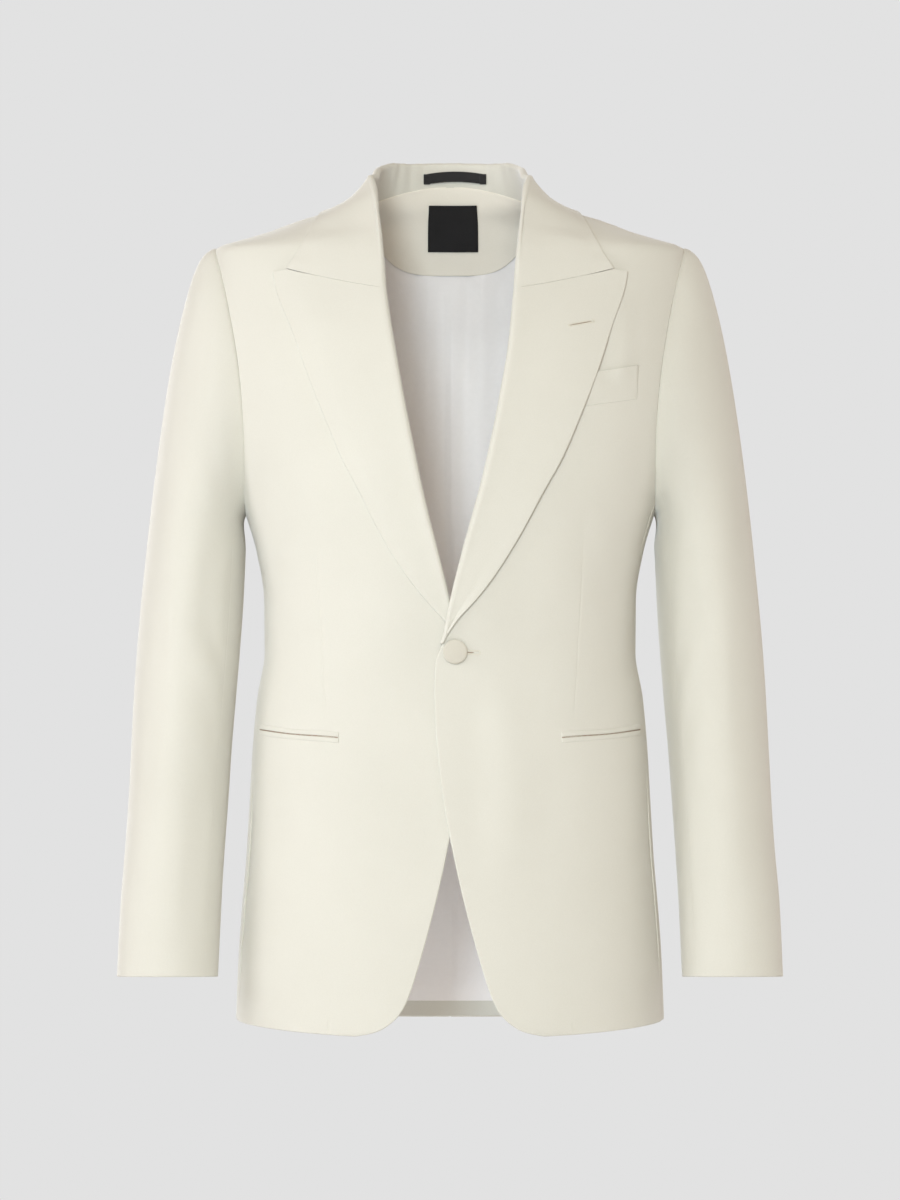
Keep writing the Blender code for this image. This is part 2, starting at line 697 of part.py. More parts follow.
def sleeve_surface(turn):
    """Rows of the sleeve's middle surface from the cuff to the armhole, for each turn."""
    turn = np.asarray(turn, float)[None, :]
    crown_start = SLEEVE_SECTIONS[-1, 0]
    heights = np.linspace(SLEEVE_SECTIONS[0, 0], crown_start, 10)[:, None]
    lower = sleeve_ring(heights, turn)
    base = sleeve_ring(np.array([[crown_start]]), turn)[0]
    rising = unit(base - sleeve_ring(np.array([[crown_start - 10]]), turn)[0])
    loop = armhole_loop(turn[0])
    radians = np.radians(turn[0])
    top_share, front_share = np.cos(radians), np.sin(radians)
    away = unit(np.stack([
        ARMHOLE_AWAY + ARMHOLE_AWAY_TOP * top_share,
        -ARMHOLE_FORWARD * front_share,
        ARMHOLE_RISE_TOP * top_share - ARMHOLE_DROP,
    ], axis=-1))
    end = loop + away * SLEEVE_CLEAR
    length = np.linalg.norm(end - base, axis=-1, keepdims=True)
    reach = np.minimum(CROWN_REACH, 0.3 * length)
    first = base + rising * 0.36 * length
    second = end + away * reach
    crown = []
    for share in np.linspace(0, 1, 10)[1:]:
        crown.append(
            base * (1 - share) ** 3
            + first * 3 * share * (1 - share) ** 2
            + second * 3 * share**2 * (1 - share)
            + end * share**3
        )
    return np.concatenate([lower, np.stack(crown)])


def sleeve_part(from_turn, to_turn, count):
    turn = np.linspace(from_turn + SLEEVE_SEAM_TURN, to_turn - SLEEVE_SEAM_TURN, count)
    points = sleeve_surface(turn)
    before = sleeve_surface(turn - 1.0)
    after = sleeve_surface(turn + 1.0)
    up = np.gradient(points, axis=0)
    normals = unit(np.cross(up, after - before))
    return wall(points[:, ::-1], normals[:, ::-1], thickness=WALL)


def upper_sleeve():
    return sleeve_part(SLEEVE_BACK_SEAM - 360, SLEEVE_FRONT_SEAM, 19)


def under_sleeve():
    return sleeve_part(SLEEVE_FRONT_SEAM, SLEEVE_BACK_SEAM, 10)


# ---------------------------------------------------------------- pockets, button, inside


def hip_pocket(upper):
    """Two jets with the pocket's mouth as a groove between them."""
    share = np.linspace(0, 1, 12)[None, :]
    offsets, proud = HIP_POCKET_PROFILE.T
    height = HIP_POCKET_HEIGHT + HIP_POCKET_RISE * share + offsets[:, None]
    x = HIP_POCKET_INNER + HIP_POCKET_LENGTH * share + 0 * height
    points, normals = front_surface(x, height, upper)
    lowest = WALL / 2 + SEAM_GAP
    return wall_mesh(
        points + normals * (lowest + proud)[:, None, None], points + normals * lowest
    )


def breast_welt():
    """A slanting welt; its inner end passes under the lapel."""
    share = np.linspace(0, 1, 9)[None, :]
    rise = np.linspace(0, 1, 5)[:, None]
    x = WELT_INNER + WELT_LENGTH * share + rise
    height = WELT_TOP + WELT_RISE * share - WELT_DEPTH * (1 - rise)
    points, normals = front_surface(x, height, True)
    middle = WALL / 2 + SEAM_GAP + WELT_WALL / 2
    return wall(points, normals, middle=middle, thickness=WELT_WALL)


def button():
    """A covered button on its shank."""
    centre, normal = front_surface(np.array([BUTTON_X]), np.array([BUTTON_HEIGHT]), True)
    centre, normal = centre[0], normal[0]
    across = unit(np.cross(np.array([0, 0, 1.0]), normal))
    up = np.cross(normal, across)
    base = centre + normal * (WALL / 2 + 2 * SEAM_GAP)
    points = [base + normal * BUTTON_PROFILE[0][1]]
    for radius, level in BUTTON_PROFILE[1:-1]:
        for k in range(BUTTON_SEGMENTS):
            turn = 2 * np.pi * k / BUTTON_SEGMENTS
            points.append(
                base + normal * level + (across * np.cos(turn) + up * np.sin(turn)) * radius
            )
    points.append(base)
    rings = len(BUTTON_PROFILE) - 2
    faces = []
    for k in range(BUTTON_SEGMENTS):
        after = (k + 1) % BUTTON_SEGMENTS
        faces.append((0, 1 + k, 1 + after))
        for ring in range(rings - 1):
            a = 1 + ring * BUTTON_SEGMENTS
            b = a + BUTTON_SEGMENTS
            faces.append((a + k, b + k, b + after, a + after))
        last = 1 + (rings - 1) * BUTTON_SEGMENTS
        faces.append((last + k, len(points) - 1, last + after))
    return np.array(points), faces


LINING_MIDDLE = -(WALL / 2 + LAYER_GAP + LINING_WALL / 2)
FACING_MIDDLE = LINING_MIDDLE - LINING_WALL - INNER_GAP
LABEL_MIDDLE = FACING_MIDDLE - LINING_WALL / 2 - LABEL_GAP - LABEL_WALL / 2


def facing_low(x):
    """Height of the neck facing's lower edge, a wide U."""
    rise = FACING_CURVE_RISE * (np.abs(x) / FACING_CURVE_WIDTH) ** 4
    return np.minimum(FACING_BOTTOM + rise, SHOULDER_LINING_TOP)


def back_surface(x, height):
    angle = angle_at(np.abs(x), height, 1)
    flip = np.stack([np.where(x < 0, -1.0, 1.0)] + [np.ones_like(x)] * 2, axis=-1)
    return body_point(angle, height) * flip, body_normal(angle, height) * flip


def neck_facing():
    share = np.linspace(-1, 1, 21)[None, :]
    rise = np.linspace(0, 1, 6)[:, None]
    angle = 90 - (90 - FACING_END_ANGLE) * np.abs(share)
    top_height = neck_height(angle) - FACING_BELOW_NECK
    top_x = np.sign(share) * body_point(angle, top_height)[..., 0]
    low_x = FACING_HALF_WIDTH * share
    low_height = facing_low(low_x) + SEAM_GAP
    x = low_x + (top_x - low_x) * rise
    height = low_height + (top_height - low_height) * rise
    points, normals = back_surface(x, height)
    return wall(points[:, ::-1], normals[:, ::-1], middle=FACING_MIDDLE, thickness=LINING_WALL)


def lining_top(columns):
    """The height where each lining column meets the facing or the shoulder."""
    low = np.full(len(columns), LINING_SPLIT)
    high = np.full(len(columns), SHOULDER_LINING_TOP)
    for _ in range(40):
        middle = (low + high) / 2
        x = column_x(columns, middle)
        under = middle < facing_low(x)
        low, high = np.where(under, middle, low), np.where(under, high, middle)
    return low


def column_x(share, height):
    """Distance from the centre of a lining column (share 0 centre, 1 outer) at a height."""
    outer = outer_angle(height, ARMHOLE_BACK_ANGLE, BACK_SEAM_ANGLE) + LINING_ARMHOLE_TURN
    angle = 90 + (outer - 90) * share
    return body_point(angle, height)[..., 0]


def back_lining():
    half = np.linspace(0, 1, LINING_COLUMNS)
    top = lining_top(half) + LINING_UNDER_FACING
    low = HEM_HEIGHT + BACK_HEM_FACING + SEAM_GAP
    plain = BACK_ROWS[(BACK_ROWS > low + 20) & (BACK_ROWS < LINING_SPLIT)]
    rows = np.concatenate([[low], plain, [LINING_SPLIT]])[:, None] + 0 * half
    rise = np.linspace(0, 1, 8)[1:, None] ** 0.85
    rows = np.concatenate([rows, LINING_SPLIT + (top[None, :] - LINING_SPLIT) * rise])
    outer = outer_angle(rows, ARMHOLE_BACK_ANGLE, BACK_SEAM_ANGLE) + LINING_ARMHOLE_TURN
    angle = 90 + (outer - 90) * half[None, :]
    height = hem_raised(rows, angle)
    points = body_point(angle, height)
    normals = body_normal(angle, height)
    points = np.concatenate([points[:, ::-1], points[:, 1:] * (-1, 1, 1)], axis=1)
    normals = np.concatenate([normals[:, ::-1], normals[:, 1:] * (-1, 1, 1)], axis=1)
    below_facing = smooth((PLEAT_TOP - height) / PLEAT_FADE)
    below_facing = np.concatenate([below_facing[:, ::-1], below_facing[:, 1:]], axis=1)
    pleat = PLEAT_DEPTH * np.exp(-((points[..., 0] / PLEAT_HALF_WIDTH) ** 2)) * below_facing
    inner = points + normals * (LINING_MIDDLE - LINING_WALL / 2 - pleat)[..., None]
    return wall_mesh(points + normals * (LINING_MIDDLE + LINING_WALL / 2), inner)


def back_hem_facing():
    share = np.linspace(-1, 1, 25)[None, :]
    rise = np.linspace(0, 1, 3)[:, None]
    angle = 90 - (90 - BACK_SEAM_ANGLE - LINING_ARMHOLE_TURN) * np.abs(share)
    rows = HEM_HEIGHT + 0.5 + (BACK_HEM_FACING - 0.5) * rise
    height = hem_raised(rows + 0 * angle, angle + 0 * rows)
    flip = np.stack([np.sign(share + 1e-9)] + [np.ones_like(share)] * 2, axis=-1)
    points = body_point(angle + 0 * rows, height) * flip
    normals = body_normal(angle + 0 * rows, height) * flip
    return wall(points[:, ::-1], normals[:, ::-1], middle=LINING_MIDDLE, thickness=LINING_WALL)


def label():
    x = LABEL_X + LABEL_WIDTH / 2 * np.linspace(-1, 1, 7)[None, ::-1]
    height = LABEL_TOP - LABEL_HEIGHT * np.linspace(1, 0, 5)[:, None]
    points, normals = back_surface(x + 0 * height, height + 0 * x)
    return wall(points, normals, middle=LABEL_MIDDLE, thickness=LABEL_WALL)


def hanger_loop():
    """A flat arched band whose ends lie on the inside of the collar's stand."""
    share = np.linspace(-1, 1, 13)
    x = LOOP_X + LOOP_LENGTH / 2 * share
    middle_station = collar_sheet()[:, 1]
    order = np.argsort(middle_station[:, 0])
    stand_y = np.interp(x, middle_station[order, 0], middle_station[order, 1])
    y = stand_y - WALL / 2 - SEAM_GAP - LOOP_WALL / 2 - LOOP_BOW * (1 - share**4)
    height = LOOP_HEIGHT + LOOP_ARCH * (1 - share**2)
    points = np.stack([
        np.stack([x, y, height + LOOP_WIDTH * side], axis=-1) for side in (-0.5, 0.5)
    ])
    points = points[:, ::-1]
    return wall(points, grid_normals(points), thickness=LOOP_WALL)


# ---------------------------------------------------------------- assembly


def clear_scene():
    for thing in list(bpy.data.objects):
        bpy.data.objects.remove(thing, do_unlink=True)


def main():
    clear_scene()
    cloth = (IVORY, 0.85)
    lining = (LINING_WHITE, 0.45)
    black = (BLACK, 0.6)
    make_object("front_left", front_panel(True), *cloth)
    make_object("front_right", mirrored(front_panel(False)), *cloth)
    make_object("lapel_left", lapel(True), *cloth)
    make_object("lapel_right", mirrored(lapel(False)), *cloth)
    make_object("collar", collar(), *cloth)
    for name, build in (
        ("side_body", side_body),
        ("back", back_panel),
        ("upper_sleeve", upper_sleeve),
        ("under_sleeve", under_sleeve),
    ):
        make_object(name + "_left", build(), *cloth)
        make_object(name + "_right", mirrored(build()), *cloth)
    make_object("hip_pocket_left", hip_pocket(True), *cloth)
    make_object("hip_pocket_right", mirrored(hip_pocket(False)), *cloth)
    make_object("breast_welt", breast_welt(), *cloth)
    make_object("button", button(), *cloth)
    make_object("neck_facing", neck_facing(), *cloth)
    make_object("back_hem_facing", back_hem_facing(), *cloth)
    make_object("back_lining", back_lining(), *lining)
    make_object("label", label(), *black)
    make_object("hanger_loop", hanger_loop(), *black)


main()
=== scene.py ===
"""The dinner jacket's looks: finer cloth, seams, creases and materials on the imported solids.

Lengths in the shape functions are millimetres; make_piece turns them into metres.
The body is one smooth surface, body_point(angle, height): angle -90 is the centre front,
0 the side or the shoulder ridge, and 90 the centre back.
"""

import bpy
import numpy as np
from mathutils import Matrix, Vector


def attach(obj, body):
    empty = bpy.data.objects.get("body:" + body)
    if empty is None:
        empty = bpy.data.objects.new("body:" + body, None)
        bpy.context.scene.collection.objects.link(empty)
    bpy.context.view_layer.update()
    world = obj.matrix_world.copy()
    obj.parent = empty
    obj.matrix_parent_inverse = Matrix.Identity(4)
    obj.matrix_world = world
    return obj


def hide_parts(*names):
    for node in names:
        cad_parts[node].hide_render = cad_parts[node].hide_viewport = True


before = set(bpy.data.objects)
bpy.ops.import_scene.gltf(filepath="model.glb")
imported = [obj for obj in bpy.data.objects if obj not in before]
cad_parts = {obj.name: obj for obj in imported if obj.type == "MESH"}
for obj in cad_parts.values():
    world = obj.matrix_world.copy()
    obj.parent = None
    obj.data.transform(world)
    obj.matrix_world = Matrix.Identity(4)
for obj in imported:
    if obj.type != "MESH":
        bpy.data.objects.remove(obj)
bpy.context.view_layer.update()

MM = 0.001
UP = np.array([0, 0, 1.0])
MIRRORED = (-1, 1, 1)

# ---------------------------------------------------------------- sizes shared with the solids

WALL = 2.0
LINING_WALL = 0.8
SIDE_Y = 8.0
ROUNDNESS = 2.4
SIDE_HEM_RISE = 8.0
HEM_HEIGHT = -745.0
HEM_BLEND_TOP = -600.0
FRONT_SEAM_ANGLE = -12.0
BACK_SEAM_ANGLE = 30.0
ARMHOLE_TOP = -41.5
ARMHOLE_BOTTOM = -280.5
ARMHOLE_FRONT_ANGLE = 29.0
ARMHOLE_BACK_ANGLE = 38.0
NECK_SIDE_HEIGHT = 1.5
NECK_BACK_HEIGHT = 18.0
CENTRE_SHIFT = 1.5
SHIFT_FADE_FROM = -150.0
SHIFT_FADE_LENGTH = 70.0
BREAK_HEIGHT = -401.5
BREAK_BLEND = 22.0
GORGE_HEIGHT = -84.6
OVERLAP_LIFT = 1.6
OVERLAP_REACH = 12.0
OVERLAP_FADE = 62.0
OVERLAP_TOP = -356.0
OVERLAP_TOP_FADE = 50.0
ROLL_LIFT = 4.3
ROLL_LIFT_HEIGHT = -368.0
ROLL_LIFT_LENGTH = 34.0
LAPEL_FOOT_UPPER = -396.5
LAPEL_FOOT_UNDER = -381.0
FOLD_RADIUS = 2.4
ROLL_RADIUS = 3.4
PRESSED_RADIUS = 1.6
FOLD_LEG = 0.4
LAPEL_CLEAR = 3.6
PRESSED_CLEAR = 2.5
PRESSED_TO = -250.0
COLLAR_CORNER = (-51.2, -64.6)
GORGE_GAP = 0.5
RIDGE_CLEAR = 0.4
COLLAR_EDGE_CLEAR = 2.3
UNDER_EDGE_CLEAR = 2.3
UNDER_ROLL_OUT = 1.9
UPPER_ROLL_IN = 1.0
NECK_GAP = 2.0
EDGE_LIFT = 1.6

# height, half width, depth of the front, depth of the back
BODY_SECTIONS = np.array([
    (-745.0, 193.0, 124.0, 126.0), (-676.0, 190.5, 123.0, 125.0), (-585.0, 183.5, 121.0, 120.0),
    (-495.0, 178.0, 119.0, 111.0), (-450.0, 174.0, 118.0, 105.0), (-405.0, 166.8, 119.0, 101.0),
    (-360.0, 167.2, 123.0, 103.0), (-314.0, 174.5, 126.0, 109.0), (-280.0, 184.5, 126.0, 115.0),
    (-248.5, 193.5, 124.5, 121.0), (-220.0, 199.5, 122.0, 125.0), (-180.0, 207.0, 116.0, 128.0),
    (-151.0, 211.0, 109.0, 127.0), (-124.0, 213.5, 101.0, 124.0), (-100.0, 214.5, 92.0, 118.0),
    (-76.0, 214.2, 82.0, 111.0), (-56.0, 213.3, 74.0, 104.0), (-45.0, 212.3, 69.0, 99.5),
    (-41.5, 210.3, 67.0, 98.0), (-28.5, 167.0, 60.0, 92.0), (-17.6, 138.0, 54.0, 87.0),
    (-10.3, 114.0, 49.8, 83.6), (-4.8, 92.0, 45.9, 80.8), (1.5, 73.0, 41.0, 77.2),
    (18.0, 66.0, 28.0, 69.0),
])

# height, distance of the front edge from the centre; below the break point
FRONT_EDGE = np.array([
    (-745.6, 84.0), (-744.0, 76.0), (-741.0, 65.0), (-735.0, 54.5), (-726.5, 45.5), (-715.0, 38.8),
    (-700.0, 33.2), (-678.0, 26.5), (-655.0, 20.0), (-630.0, 13.5), (-600.0, 6.5), (-570.0, 0.3),
    (-553.0, -3.0), (-510.0, -9.0), (-465.0, -12.8), (-440.0, -13.5), (-416.0, -12.6),
    (-401.5, -8.8),
])

# height, distance of the roll line from the centre
ROLL_LINE = np.array([
    (-401.5, -8.8), (-360.0, -1.0), (-320.0, 8.8), (-285.0, 17.8), (-250.0, 26.6), (-210.0, 35.6),
    (-170.0, 43.4), (-130.0, 50.2), (-92.6, 55.0), (-60.0, 58.6), (-37.0, 60.2), (-13.5, 63.2),
    (1.5, 73.0),
])

# height, distance of the lapel's outer edge from the centre
LAPEL_EDGE = np.array([
    (-395.6, -7.4), (-387.6, -2.6), (-374.3, 6.4), (-359.0, 20.4), (-338.0, 36.8), (-309.0, 55.5),
    (-264.0, 79.0), (-231.0, 97.0), (-208.0, 107.0), (-158.0, 127.0), (-119.0, 140.5),
    (-78.5, 155.0), (-66.3, 157.0),
])

# Half the collar from the centre back to the gorge: angle of its seam, height of the seam,
# stand, how far the stand lies down, distance and height of its outer edge, drop of the fall
COLLAR_STATIONS = np.array([
    (90.0, 18.0, 19.6, 0.00, 0.0, -11.0, 1.4),
    (62.0, 14.4, 21.8, 0.08, 58.0, -12.0, 1.5),
    (30.0, 5.6, 29.5, 0.21, 100.0, -12.0, 2.6),
    (0.0, 1.5, 27.6, 0.25, 111.5, -9.9, 3.4),
    (-38.0, -4.0, 16.2, 0.30, 122.3, -24.0, 3.2),
    (-60.0, -18.0, 5.5, 0.17, 130.2, -38.6, 3.0),
    (-71.0, -50.0, 2.0, 0.40, 138.3, -53.4, 2.6),
    (-73.8, -84.1, 0.4, 1.00, 144.8, -64.1, 2.0),
])
RIDGE_STATION = 3

# height, outer and inner reach from the centre, middle in depth, half depth
SLEEVE_SECTIONS = np.array([
    (-696.0, 297.5, 209.0, -48.0, 41.0), (-631.0, 295.0, 206.5, -36.0, 45.0),
    (-585.0, 291.5, 204.0, -28.0, 48.5), (-540.0, 289.0, 201.0, -20.0, 52.0),
    (-495.0, 287.0, 198.0, -13.0, 55.5), (-450.0, 285.0, 194.5, -7.0, 58.5),
    (-405.0, 282.0, 191.0, -2.0, 61.5), (-360.0, 278.5, 188.0, 2.0, 64.5),
    (-315.0, 274.0, 186.0, 5.0, 67.0),
])
SLEEVE_FRONT_SEAM = 140.0
SLEEVE_BACK_SEAM = 258.0
CUFF_TILT = 0.06
CUFF_TILT_REACH = 200.0
ARMHOLE_AWAY = 0.80
ARMHOLE_AWAY_TOP = 0.16
ARMHOLE_FORWARD = 0.30
ARMHOLE_RISE_TOP = 0.30
ARMHOLE_DROP = 0.50
CROWN_REACH = 30.0


# ---------------------------------------------------------------- curves


def monotone_curve(table, column, at):
    """Piecewise cubic through a table's rows (by its first column) that never overshoots them."""
    x = table[:, 0]
    y = table[:, column]
    at = np.clip(np.asarray(at, float), min(x[0], x[-1]), max(x[0], x[-1]))
    if x[0] > x[-1]:
        x, y = x[::-1], y[::-1]
    step = np.diff(x)
    slope = np.diff(y) / step
    tangent = np.zeros(len(x))
    tangent[0], tangent[-1] = slope[0], slope[-1]
    for i in range(1, len(x) - 1):
        if slope[i - 1] * slope[i] > 0:
            before = 2 * step[i] + step[i - 1]
            after = step[i] + 2 * step[i - 1]
            tangent[i] = (before + after) / (before / slope[i - 1] + after / slope[i])
    k = np.clip(np.searchsorted(x, at, side="right") - 1, 0, len(x) - 2)
    t = (at - x[k]) / step[k]
    return (
        y[k] * (1 + 2 * t) * (1 - t) ** 2
        + y[k + 1] * t**2 * (3 - 2 * t)
        + step[k] * (tangent[k] * t * (1 - t) ** 2 - tangent[k + 1] * t**2 * (1 - t))
    )


def signed_power(base, exponent):
    return np.sign(base) * np.abs(base) ** exponent


def smooth(t):
    t = np.clip(t, 0.0, 1.0)
    return t * t * (3 - 2 * t)


def unit(vectors):
    return vectors / np.maximum(np.linalg.norm(vectors, axis=-1, keepdims=True), 1e-9)


def body_point(angle, height):
    angle = np.radians(angle)
    half_width = monotone_curve(BODY_SECTIONS, 1, height)
    front = monotone_curve(BODY_SECTIONS, 2, height) + SIDE_Y
    back = monotone_curve(BODY_SECTIONS, 3, height) - SIDE_Y
    across = signed_power(np.cos(angle), 2 / ROUNDNESS)
    deep = signed_power(np.sin(angle), 2 / ROUNDNESS)
    y = SIDE_Y + np.where(deep < 0, front, back) * deep
    return np.stack([half_width * across, y, height + 0 * y], axis=-1)


def body_normal(angle, height):
    turn, climb = 0.6, 1.5
    along = body_point(angle + turn, height) - body_point(angle - turn, height)
    up = body_point(angle, height + climb) - body_point(angle, height - climb)
    return unit(np.cross(along, up))


def body_surface(angle, height):
    return body_point(angle, height), body_normal(angle, height)


def angle_at(x, height, side):
    share = np.clip(x / monotone_curve(BODY_SECTIONS, 1, height), -1.0, 1.0)
    return side * np.degrees(np.arccos(signed_power(share, ROUNDNESS / 2)))


ARMHOLE_MIDDLE = (ARMHOLE_TOP + ARMHOLE_BOTTOM) / 2
ARMHOLE_HALF = ARMHOLE_TOP - ARMHOLE_MIDDLE


def armhole_height(angle):
    widest = np.where(angle < 0, ARMHOLE_FRONT_ANGLE, ARMHOLE_BACK_ANGLE)
    return ARMHOLE_MIDDLE - ARMHOLE_HALF * np.sqrt(np.clip(1 - (angle / widest) ** 2, 0, 1))


def armhole_angle(height, widest):
    share = np.clip((height - ARMHOLE_MIDDLE) / ARMHOLE_HALF, -1.0, 1.0)
    return widest * np.sqrt(1 - share**2)


def armhole_loop(turn):
    turn = np.radians(turn)
    height = ARMHOLE_MIDDLE + ARMHOLE_HALF * np.cos(turn)
    widest = np.where(np.sin(turn) > 0, ARMHOLE_FRONT_ANGLE, ARMHOLE_BACK_ANGLE)
    return body_point(-widest * np.sin(turn), height)


def outer_angle(height, widest, seam_angle):
    edge = armhole_angle(height, widest)
    return np.where(height < armhole_height(np.array(seam_angle)), abs(seam_angle), edge)


def hem_raised(row_height, angle):
    near_hem = np.clip((HEM_BLEND_TOP - row_height) / (HEM_BLEND_TOP - HEM_HEIGHT), 0, 1)
    return row_height + SIDE_HEM_RISE * near_hem * np.cos(np.radians(angle)) ** 2


def overlap_lift(x, height, upper):
    near_centre = 1 - smooth((x - OVERLAP_REACH) / OVERLAP_FADE)
    below_opening = 1 - smooth((height - OVERLAP_TOP) / OVERLAP_TOP_FADE)
    if not upper:
        return -OVERLAP_LIFT * near_centre * below_opening
    roll = ROLL_LIFT * np.exp(-(((height - ROLL_LIFT_HEIGHT) / ROLL_LIFT_LENGTH) ** 2))
    return (OVERLAP_LIFT * below_opening + roll) * near_centre


def front_surface(x, height, upper):
    points, normals = body_surface(angle_at(x, height, -1), height)
    return points + normals * overlap_lift(x, height, upper)[..., None], normals


def centre_shift(height, upper):
    fade = 1 - smooth((height - SHIFT_FADE_FROM) / SHIFT_FADE_LENGTH)
    if upper:
        return CENTRE_SHIFT * fade - UPPER_ROLL_IN * smooth((-250.0 - height) / 70.0)
    return UNDER_ROLL_OUT * smooth((-200.0 - height) / 100.0) - CENTRE_SHIFT * fade


def opening(height, pressed, rolled):
    """From the pressed size at the break point to the rolled one higher up the lapel."""
    share = smooth((height - BREAK_HEIGHT) / (PRESSED_TO - BREAK_HEIGHT))
    return pressed + (rolled - pressed) * share


def fold_radius(height):
    return opening(height, PRESSED_RADIUS, ROLL_RADIUS)


def front_inner_x(height, upper):
    cut = monotone_curve(FRONT_EDGE, 1, height)
    roll = monotone_curve(ROLL_LINE, 1, height) + centre_shift(height, upper)
    roll = roll + fold_radius(height) + WALL / 2 + FOLD_LEG + 0.3
    above_break = smooth((height - BREAK_HEIGHT + 8.0) / BREAK_BLEND)
    return cut * (1 - above_break) + roll * above_break


def neck_height(angle):
    rise = NECK_BACK_HEIGHT - NECK_SIDE_HEIGHT
    return NECK_SIDE_HEIGHT + rise * np.sin(np.radians(np.clip(angle, 0, 90))) ** 2


# ---------------------------------------------------------------- relief


def band(distance, width):
    """A soft bump of height 1 across a band."""
    return np.exp(-((distance / width) ** 2))


def bumps(table, at):
    """Soft bumps in a row; columns: place, half width, height."""
    return sum(height * band(at - place, width) for place, width, height in table)


def creases(table, across, along):
    """Troughs and ridges on a surface, each from one point to another of (across, along).

    Columns: across and along of the start, the same of the end, half width, depth
    (below 0 a trough), bow sideways.
    """
    total = np.zeros(np.broadcast(across, along).shape)
    for across_0, along_0, across_1, along_1, width, depth, bow in table:
        run = np.array([across_1 - across_0, along_1 - along_0])
        length = np.hypot(*run)
        run = run / length
        t = ((across - across_0) * run[0] + (along - along_0) * run[1]) / length
        off = (along - along_0) * run[0] - (across - across_0) * run[1]
        off = off - bow * 4 * t * (1 - t)
        # the width wavers a little and both ends run out softly
        wide = width * (1 + 0.25 * np.sin(5.1 * t + across_0) + 0.35 * np.clip(t, 0, 1))
        ends = smooth(t / 0.3 + 0.15) * smooth((1 - t) / 0.4 + 0.1)
        profile = band(off, wide) - 0.35 * band(off - 1.9 * wide, 1.5 * wide)
        total = total + depth * profile * ends
    return total


def ripple(across, along, scale, seed):
    """Gentle unevenness of cloth, between about -1 and 1."""
    rng = np.random.default_rng(seed)
    total = np.zeros(np.broadcast(across, along).shape)
    for octave in (1.0, 1.9, 3.3):
        for _ in range(3):
            turn = rng.uniform(0, np.pi)
            phase = rng.uniform(0, 2 * np.pi)
            stretch = rng.uniform(0.6, 1.3)
            wave = (across * np.cos(turn) + along * 0.55 * np.sin(turn)) / scale
            total = total + np.sin(wave * octave * stretch * 2 * np.pi + phase) / octave
    return total / 4.5


# ---------------------------------------------------------------- meshes


def grid_normals(points):
    along = np.gradient(points, axis=1)
    up = np.gradient(points, axis=0)
    return unit(np.cross(along, up))


def spread(first, last, step, edge=1.2):
    """Even values from first to last with one more close to each end."""
    count = max(int(round(abs(last - first) / step)), 2)
    sign = np.sign(last - first)
    inner = np.linspace(first + sign * edge, last - sign * edge, count)
    return np.concatenate([[first], inner, [last]])


def even_shares(count, edge):
    """Shares from 0 to 1, about count of them, with one more close to each end."""
    return spread(0.0, 1.0, 1 / count, edge)


RIM_TURNS = np.radians((35.0, 90.0, 145.0))
# How far edges stand out at the bottom, right, top and left: all round, or into three seams
FREE = (1, 1, 1, 1)
SEWN = (1, 0.45, 0.45, 0.45)


def shell_mesh(points, normals, thickness, reach, relief=0.0):
    """A closed sheet of cloth with rounded edges round a grid of middle points.

    reach holds how far the edge stands out at the bottom, right, top and left, in half
    thicknesses: 1 is a full round, less is a tighter turn into a seam.
    """
    rows, columns = points.shape[:2]
    half = thickness / 2
    lift = np.broadcast_to(np.asarray(relief, float), (rows, columns))[..., None]
    outer = points + normals * (half + lift)
    inner = points - normals * (half - lift)
    index = np.arange(rows * columns).reshape(rows, columns)
    loop = np.concatenate([
        index[0, :-1], index[:-1, -1], index[-1, :0:-1], index[:0:-1, 0]
    ])
    sides = np.concatenate([
        np.full(columns - 1, reach[0]), np.full(rows - 1, reach[1]),
        np.full(columns - 1, reach[2]), np.full(rows - 1, reach[3]),
    ])
    edge = ((outer + inner) / 2).reshape(-1, 3)[loop]
    edge_normals = normals.reshape(-1, 3)[loop]
    tangent = np.roll(edge, -1, axis=0) - np.roll(edge, 1, axis=0)
    outward = unit(np.cross(tangent, edge_normals))
    count = rows * columns
    parts = [outer.reshape(-1, 3), inner.reshape(-1, 3)]
    for turn in RIM_TURNS:
        parts.append(
            edge + edge_normals * (half * np.cos(turn))
            + outward * (half * sides * np.sin(turn))[:, None]
        )
    a, b, c, d = index[:-1, :-1], index[:-1, 1:], index[1:, 1:], index[1:, :-1]
    front = np.stack([a, b, c, d], axis=-1).reshape(-1, 4)
    back = front[:, ::-1] + count
    rings = [loop]
    for k in range(len(RIM_TURNS)):
        rings.append(2 * count + k * len(loop) + np.arange(len(loop)))
    rings.append(loop + count)
    rim = np.concatenate([
        np.stack([np.roll(upper, -1), upper, lower, np.roll(lower, -1)], axis=-1)
        for upper, lower in zip(rings[:-1], rings[1:])
    ])
    faces = np.concatenate([front, back, rim])
    side = np.concatenate([
        np.zeros(len(front), int), np.ones(len(back), int), np.full(len(rim), 2)
    ])
    # arc lengths in metres along both directions, for the weave
    u = np.zeros((rows, columns))
    u[:, 1:] = np.cumsum(np.linalg.norm(np.diff(points, axis=1), axis=-1), axis=1)
    u = u - u[:, columns // 2][:, None]
    v = np.zeros((rows, columns))
    v[1:] = np.cumsum(np.linalg.norm(np.diff(points, axis=0), axis=-1), axis=0)
    uv = np.stack([u, v], axis=-1).reshape(-1, 2) * MM
    uv = np.concatenate([uv, uv] + [uv[loop]] * len(RIM_TURNS))
    return np.concatenate(parts), faces, side, uv


def mirror(mesh):
    points, faces, side, uv = mesh
    return points * MIRRORED, faces[:, ::-1], side, uv * (-1, 1)


def add_object(name, data):
    made = bpy.data.objects.new(name, data)
    bpy.context.scene.collection.objects.link(made)
    return made


